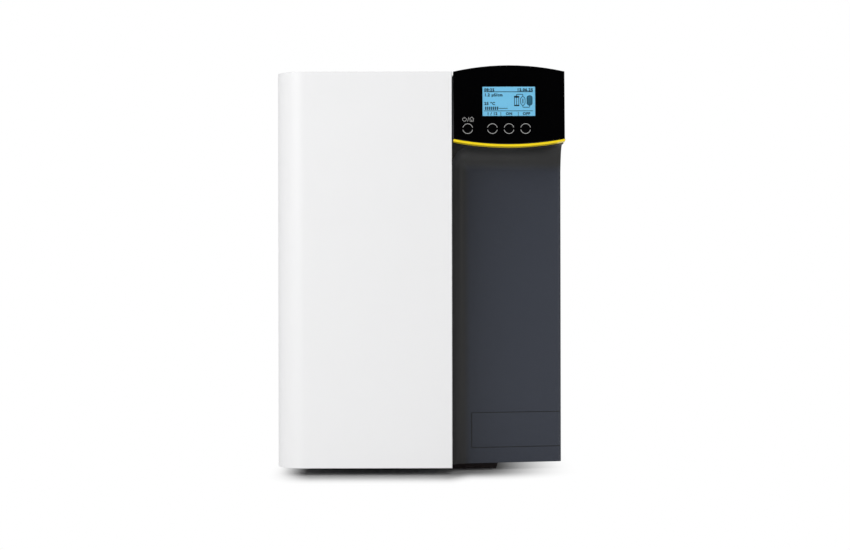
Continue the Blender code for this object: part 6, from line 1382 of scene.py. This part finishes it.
@dataclass
class RearPorts:
    """Water ports, mains inlet, data port and sensor socket at the back."""

    panel_face: float = 238 * MM
    print_depth: Pair = (-0.06 * MM, 0.04 * MM)
    water_ports: Place = (75 * MM, 111 * MM, 147 * MM)
    blade_places: tuple = ((119 * MM, 48.9 * MM), (133 * MM, 48.9 * MM), (126 * MM, 52.9 * MM))
    blade_reach: Pair = (224.35 * MM, 237.85 * MM)
    blade_half: Pair = (1.04 * MM, 2.04 * MM)
    blade_round: float = 0.3 * MM
    data_port: Pair = (126 * MM, 200 * MM)
    data_face: float = 244.1 * MM
    data_plate: float = 239.5 * MM
    contact_pitch: float = 2.77 * MM
    post_offset: float = 12.5 * MM
    sensor: Pair = (126 * MM, 165 * MM)
    sensor_face: float = 244.7 * MM
    sensor_circle: float = 3.5 * MM
    wings: tuple = (
        ("on", "I", (126 * MM, 241.9 * MM, 98.5 * MM), 7.66),
        ("off", "O", (126 * MM, 240.8 * MM, 89.57 * MM), -21.66),
    )
    collet_profile: tuple = (
        (4.2, 239.7), (6.0, 239.7), (6.0, 248.7), (7.1, 248.7), (7.3, 248.9), (7.3, 249.7), (7.0, 250.0),
        (4.6, 250.0), (4.2, 249.6),
    )
    rim_profile: tuple = (
        (6.1, 246.0), (8.9, 245.9), (8.9, 237.0), (9.03, 237.0), (9.03, 246.14), (7.53, 247.64),
        (6.25, 247.64), (6.1, 247.5),
    )
    socket_profile: tuple = (
        (5.8, 226.3), (5.8, 238.3), (8.3, 238.3), (8.5, 238.5), (8.5, 245.5), (8.2, 245.8), (7.1, 245.8),
        (6.9, 245.6), (6.9, 242.05), (5.8, 242.05), (5.8, 244.5), (5.6, 244.7),
    )
    insert_shape: tuple = ((-6.6, -3.1), (6.6, -3.1), (7.5, 3.1), (-7.5, 3.1), (-6.6, -3.1))
    insert_reach: Pair = (-0.3 * MM, 0.15 * MM)
    contact_rows: tuple = ((1.42 * MM, range(-4, 5, 2)), (-1.42 * MM, range(-3, 4, 2)))
    contact_profile: tuple = ((0.42, 0.05), (0.42, 0.3), (0.3, 0.43), (0.04, 0.47))
    post_profile: tuple = ((2.7, -0.1), (2.7, 3.4), (2.4, 3.7), (1.5, 3.7), (1.4, 1.5), (0.05, 1.4))
    post_flats: int = 3
    sensor_profile: tuple = ((0.55, -0.3), (0.55, 0.7), (0.35, 0.95), (0.04, 1.0))
    number_place: float = -22 * MM
    number_height: float = 5 * MM
    mark_height: float = 3.4 * MM
    natural: Moulding = Moulding((0.80, 0.80, 0.76), 0.4)
    acetal: Moulding = Moulding((0.05, 0.19, 0.46), 0.35)
    black: Moulding = Moulding((0.015, 0.015, 0.016), 0.5)
    plated: Metal = Metal((0.62, 0.61, 0.58), 0.26)
    gold: Metal = Metal((0.83, 0.62, 0.25), 0.28)
    dark_ink: Ink = Ink((0.05, 0.052, 0.055), 0.5)
    white_ink: Ink = Ink((0.80, 0.81, 0.82), 0.45)

    def dress(self, shop: Workshop) -> None:
        """Black and natural mouldings with steel ports."""
        shop.refine(self.natural, "water_port_block")
        shop.refine(Metal((0.62, 0.62, 0.62), 0.3, (0.1, 1.0, 1.0)), "data_port")
        shop.refine(Moulding((0.02, 0.02, 0.02), 0.45), "mains_inlet", "fuse_drawer", "rocker_switch")

    def rounds(self, shop: Workshop) -> None:
        """Turns the collets, the water ports' rims and the sensor socket smoother than their solids."""
        for name, z in zip(("drain", "product", "feed"), self.water_ports):
            stand, node = TO_BACK.at(0.0, 0.0, z), f"{name}_collet"
            skin = Skin().shell(turned(self.collet_profile, 72), stand, loop=True)
            shop.piece(f"{node}_turned", skin, self.acetal, Slot.BLUE, f"{name}_release", node)
            skin = Skin().shell(turned(self.rim_profile, 72), stand, loop=True)
            shop.piece(f"{name}_port_rim", skin, self.natural, Slot.NATURAL)
        x, z = self.sensor
        skin = Skin().shell(turned(self.socket_profile, 96), TO_BACK.at(x, 0.0, z))
        shop.piece("sensor_socket_turned", skin, self.black, Slot.BLACK, node="sensor_socket")

    def build(self, shop: Workshop) -> None:
        """Adds the round parts, the contacts, the marks on the rocker and the water ports' numbers."""
        self.rounds(shop)
        self.blades(shop)
        self.data_contacts(shop)
        self.sensor_contacts(shop)
        self.rocker_marks(shop)
        stand = FROM_BEHIND.at(0.0, self.panel_face, 0.0)
        x, height = self.number_place, self.number_height
        numbers = [(str(n), x, z - height / 2, height) for n, z in enumerate(self.water_ports, 1)]
        shop.lettering(
            "water_port_numbers", numbers, stand, self.print_depth, self.dark_ink, Slot.BLACK
        )

    def blades(self, shop: Workshop) -> None:
        """Sleeves the mains inlet's three blades in bright metal."""
        skin = Skin()
        for x, z in self.blade_places:
            half, tall = self.blade_half
            outline = box_outline(x - half, x + half, z - tall, z + tall, self.blade_round)
            skin.shell(slab(outline, *self.blade_reach, self.blade_round))
        shop.piece("mains_blades", skin, self.plated, Slot.BRIGHT)

    def data_contacts(self, shop: Workshop) -> None:
        """Fills the data port with its insert, nine contacts and two jack posts.

        A post's round profile becomes a hexagon where its radius is multiplied by
        cos(30) / cos(angle from the nearest flat's middle).
        """
        x, z = self.data_port
        face = self.data_face
        outline = np.array(self.data_port) + softened(list(self.insert_shape), 0.9, 6)[:-1] * MM
        core = Skin().shell(slab(outline, *(face + end for end in self.insert_reach)))
        shop.piece("data_port_insert", core, self.black, Slot.BLACK)
        pins = Skin()
        for up, steps in self.contact_rows:
            for step in steps:
                across = x + step * self.contact_pitch / 2
                pins.shell(turned(self.contact_profile, 12), TO_BACK.at(across, face, z + up))
        shop.piece("data_port_contacts", pins, self.gold, Slot.BRASS)
        posts = Skin()
        grid = turned(self.post_profile, 48)
        hexagon = grid[: self.post_flats]
        angle = np.arctan2(hexagon[..., 1], hexagon[..., 0])
        flats = math.cos(math.pi / 6) / np.cos(angle % (math.pi / 3) - math.pi / 6)
        hexagon[..., :2] *= flats[..., None]
        for side in (-1, 1):
            posts.shell(grid, TO_BACK.at(x + side * self.post_offset, self.data_plate, z))
        shop.piece("data_port_posts", posts, self.plated, Slot.BRIGHT)

    def sensor_contacts(self, shop: Workshop) -> None:
        """Sets five contacts in the sensor socket's core."""
        pins = Skin()
        for across, up in arc(self.sensor_circle, 18, 306, 5, self.sensor):
            pins.shell(turned(self.sensor_profile, 16), TO_BACK.at(across, self.sensor_face, up))
        shop.piece("sensor_contacts", pins, self.gold, Slot.BRASS)

    def rocker_marks(self, shop: Workshop) -> None:
        """Prints I on the rocker's upper wing and O on its lower one, each in its wing's own plane."""
        for name, text, place, slope in self.wings:
            c, s = math.cos(math.radians(slope)), math.sin(math.radians(slope))
            stand = Stand(place, (-1.0, 0.0, 0.0), (0.0, -c, -s), (0.0, -s, c))
            mark = [(text, 0.0, -self.mark_height / 2, self.mark_height)]
            shop.lettering(
                f"rocker_mark_{name}", mark, stand, self.print_depth, self.white_ink, Slot.BLACK,
                "mains_rocker",
            )


@dataclass
class Electronics:
    """The supply and the boards behind the bulkhead."""

    def dress(self, shop: Workshop) -> None:
        """Sheet case and a green board."""
        shop.dress(ZincSheet((0.6, 0.61, 0.62)), "power_supply")
        shop.dress(CircuitBoard(1, 2), "main_board")


# ---------------------------------------------------------------- studio

@dataclass
class Studio:
    """Camera, lamps, sky and floor."""

    eye: Place = (0.0048, -2.650, 0.244)
    lens: float = 83.6
    roll: float = 0.1
    sky: float = 0.56
    mirrored_sky: Pair = (0.01, 0.6)
    lamps: tuple = (
        ("key", (-1.5, -2.2, 1.1), (0, 0, 0.25), (1.4, 1.4), 25.0),
        ("fill", (2.3, -1.5, 0.5), (0, 0, 0.25), (1.2, 1.2), 6.0),
        ("top", (0.0, -0.5, 2.2), (0, -0.1, 0.0), (2.4, 2.0), 10.0),
    )
    floor_reach: float = 6.0
    # painted shadow: the floor's colour near the object, as the camera sees it
    floor_tone: Colour = (0.40, 0.40, 0.40)
    floor_white: Colour = (0.92, 0.92, 0.92)
    shadow_core: Pair = (-0.130, 0.060)
    shadow_depth: float = 0.235
    shadow_step: float = 0.040
    shadow_fade: Place = (0.060, 0.138, 0.13)

    def camera(self) -> None:
        """Looks straight in from the front, a little below the object's middle."""
        camera = bpy.data.objects.new("camera", bpy.data.cameras.new("camera"))
        camera.location = self.eye
        camera.rotation_euler = (math.pi / 2, math.radians(self.roll), 0)
        camera.data.lens = self.lens
        bpy.context.scene.collection.objects.link(camera)
        bpy.context.scene.camera = camera

    def lamp(self, name: str, place: Place, aim: Place, size: Pair, power: float) -> None:
        """Hangs a soft lamp.

        Args:
            name: its name.
            place: where it hangs.
            aim: the point it looks at.
            size: its width and height.
            power: its power in watts.
        """
        light = bpy.data.lights.new(name, "AREA")
        light.shape = "RECTANGLE"
        light.size, light.size_y = size
        light.energy = power
        lamp = bpy.data.objects.new(name, light)
        lamp.location = place
        way = np.array(aim) - np.array(place)
        across = math.atan2(way[1], way[0])
        tip = math.atan2(math.hypot(way[0], way[1]), -way[2])
        lamp.rotation_euler = (tip, 0.0, across - math.pi / 2)
        lamp.visible_camera = False
        bpy.context.scene.collection.objects.link(lamp)

    def world(self) -> None:
        """White to the camera and in reflections from behind, dim in those from the front."""
        world = bpy.data.worlds.new("sky")
        bpy.context.scene.world = world
        world.use_nodes = True
        board = NodeBoard(world.node_tree)
        path = board.node("ShaderNodeLightPath", {}, {}).outputs
        rays = ("Is Camera Ray", "Is Glossy Ray", "Is Transmission Ray")
        direct, mirrored, through = [Link(board, path[ray]) for ray in rays]
        way = board.out("ShaderNodeTexCoord", {}, {}, "Generated")
        behind = board.out("ShaderNodeSeparateXYZ", {}, {0: way}, 1).stepped(0.2, 0.9)
        front, rise = self.mirrored_sky
        seen = mirrored + (1.0 - mirrored) * through
        dim = seen * (front + rise * behind) + (1.0 - seen) * self.sky
        inputs = {"Color": EVEN, "Strength": direct + (1.0 - direct) * dim}
        background = board.out("ShaderNodeBackground", {}, inputs)
        board.node("ShaderNodeOutputWorld", {}, {"Surface": background})

    def floor(self) -> None:
        """A white floor that turns into plain light away from the object, and whose colour the camera
        sees darkened near it as a painted shadow.
        """
        reach = self.floor_reach
        mesh = bpy.data.meshes.new("floor")
        corners = [(-reach, -reach, 0), (reach, -reach, 0), (reach, reach, 0), (-reach, reach, 0)]
        mesh.from_pydata(corners, [], [[0, 1, 2, 3]])
        floor = bpy.data.objects.new("floor", mesh)
        paint = Paint("floor")
        x, y, _ = paint.axes()
        left, right = self.shadow_core
        fade_left, fade_right, fade_front = self.shadow_fade
        beside = (left - x).above(0.0) / fade_left + (x - right).above(0.0) / fade_right
        front = self.shadow_depth - self.shadow_step * x.stepped(0.030, 0.065)
        before = (abs(y) - front).above(0.0) / fade_front
        far = ((beside * beside + before * before) ** 0.5).stepped(0.15, 1.0)
        seen = paint.out("ShaderNodeLightPath", {}, {}, "Is Camera Ray")
        shine = paint.out("ShaderNodeEmission", {}, {"Strength": 1.0})
        lit = Link(paint, paint.shader.outputs[0])
        mixed = paint.out("ShaderNodeMixShader", {}, {0: far * seen, 1: lit, 2: shine})
        paint.fill(paint.output.inputs["Surface"], mixed)
        # painted shadow: to the camera, the floor's colour darkens near the object
        tone = paint.blend((1.0 - far) * seen, self.floor_white, self.floor_tone)
        paint.done(Base_Color=tone, Roughness=0.9, Specular_IOR_Level=0.0)
        mesh.materials.append(paint.material)
        bpy.context.scene.collection.objects.link(floor)

    def build(self) -> None:
        """Sets up the whole studio."""
        self.camera()
        for lamp in self.lamps:
            self.lamp(*lamp)
        self.world()
        self.floor()
        bpy.context.scene.view_settings.view_transform = "Standard"
        log.info("studio: eye at %s", self.eye)


def corners(box: tuple) -> list[list[float]]:
    """A box as plain lists, rounded to a hundredth of a millimetre."""
    return [[round(float(number), 5) for number in corner] for corner in box]


def main() -> None:
    """Dresses the frame, adds what it lacks and sets the studio round it."""
    logging.basicConfig(level=logging.INFO, format="%(name)s: %(message)s")
    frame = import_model()
    shop = Workshop(frame)
    for assembly in (Cabinet(), Column(), DisplayHead(), WaterSide(), RearPorts(), Electronics()):
        assembly.dress(shop)
        if hasattr(assembly, "build"):
            assembly.build(shop)
    Studio().build()


if __name__ == "__main__":
    main()
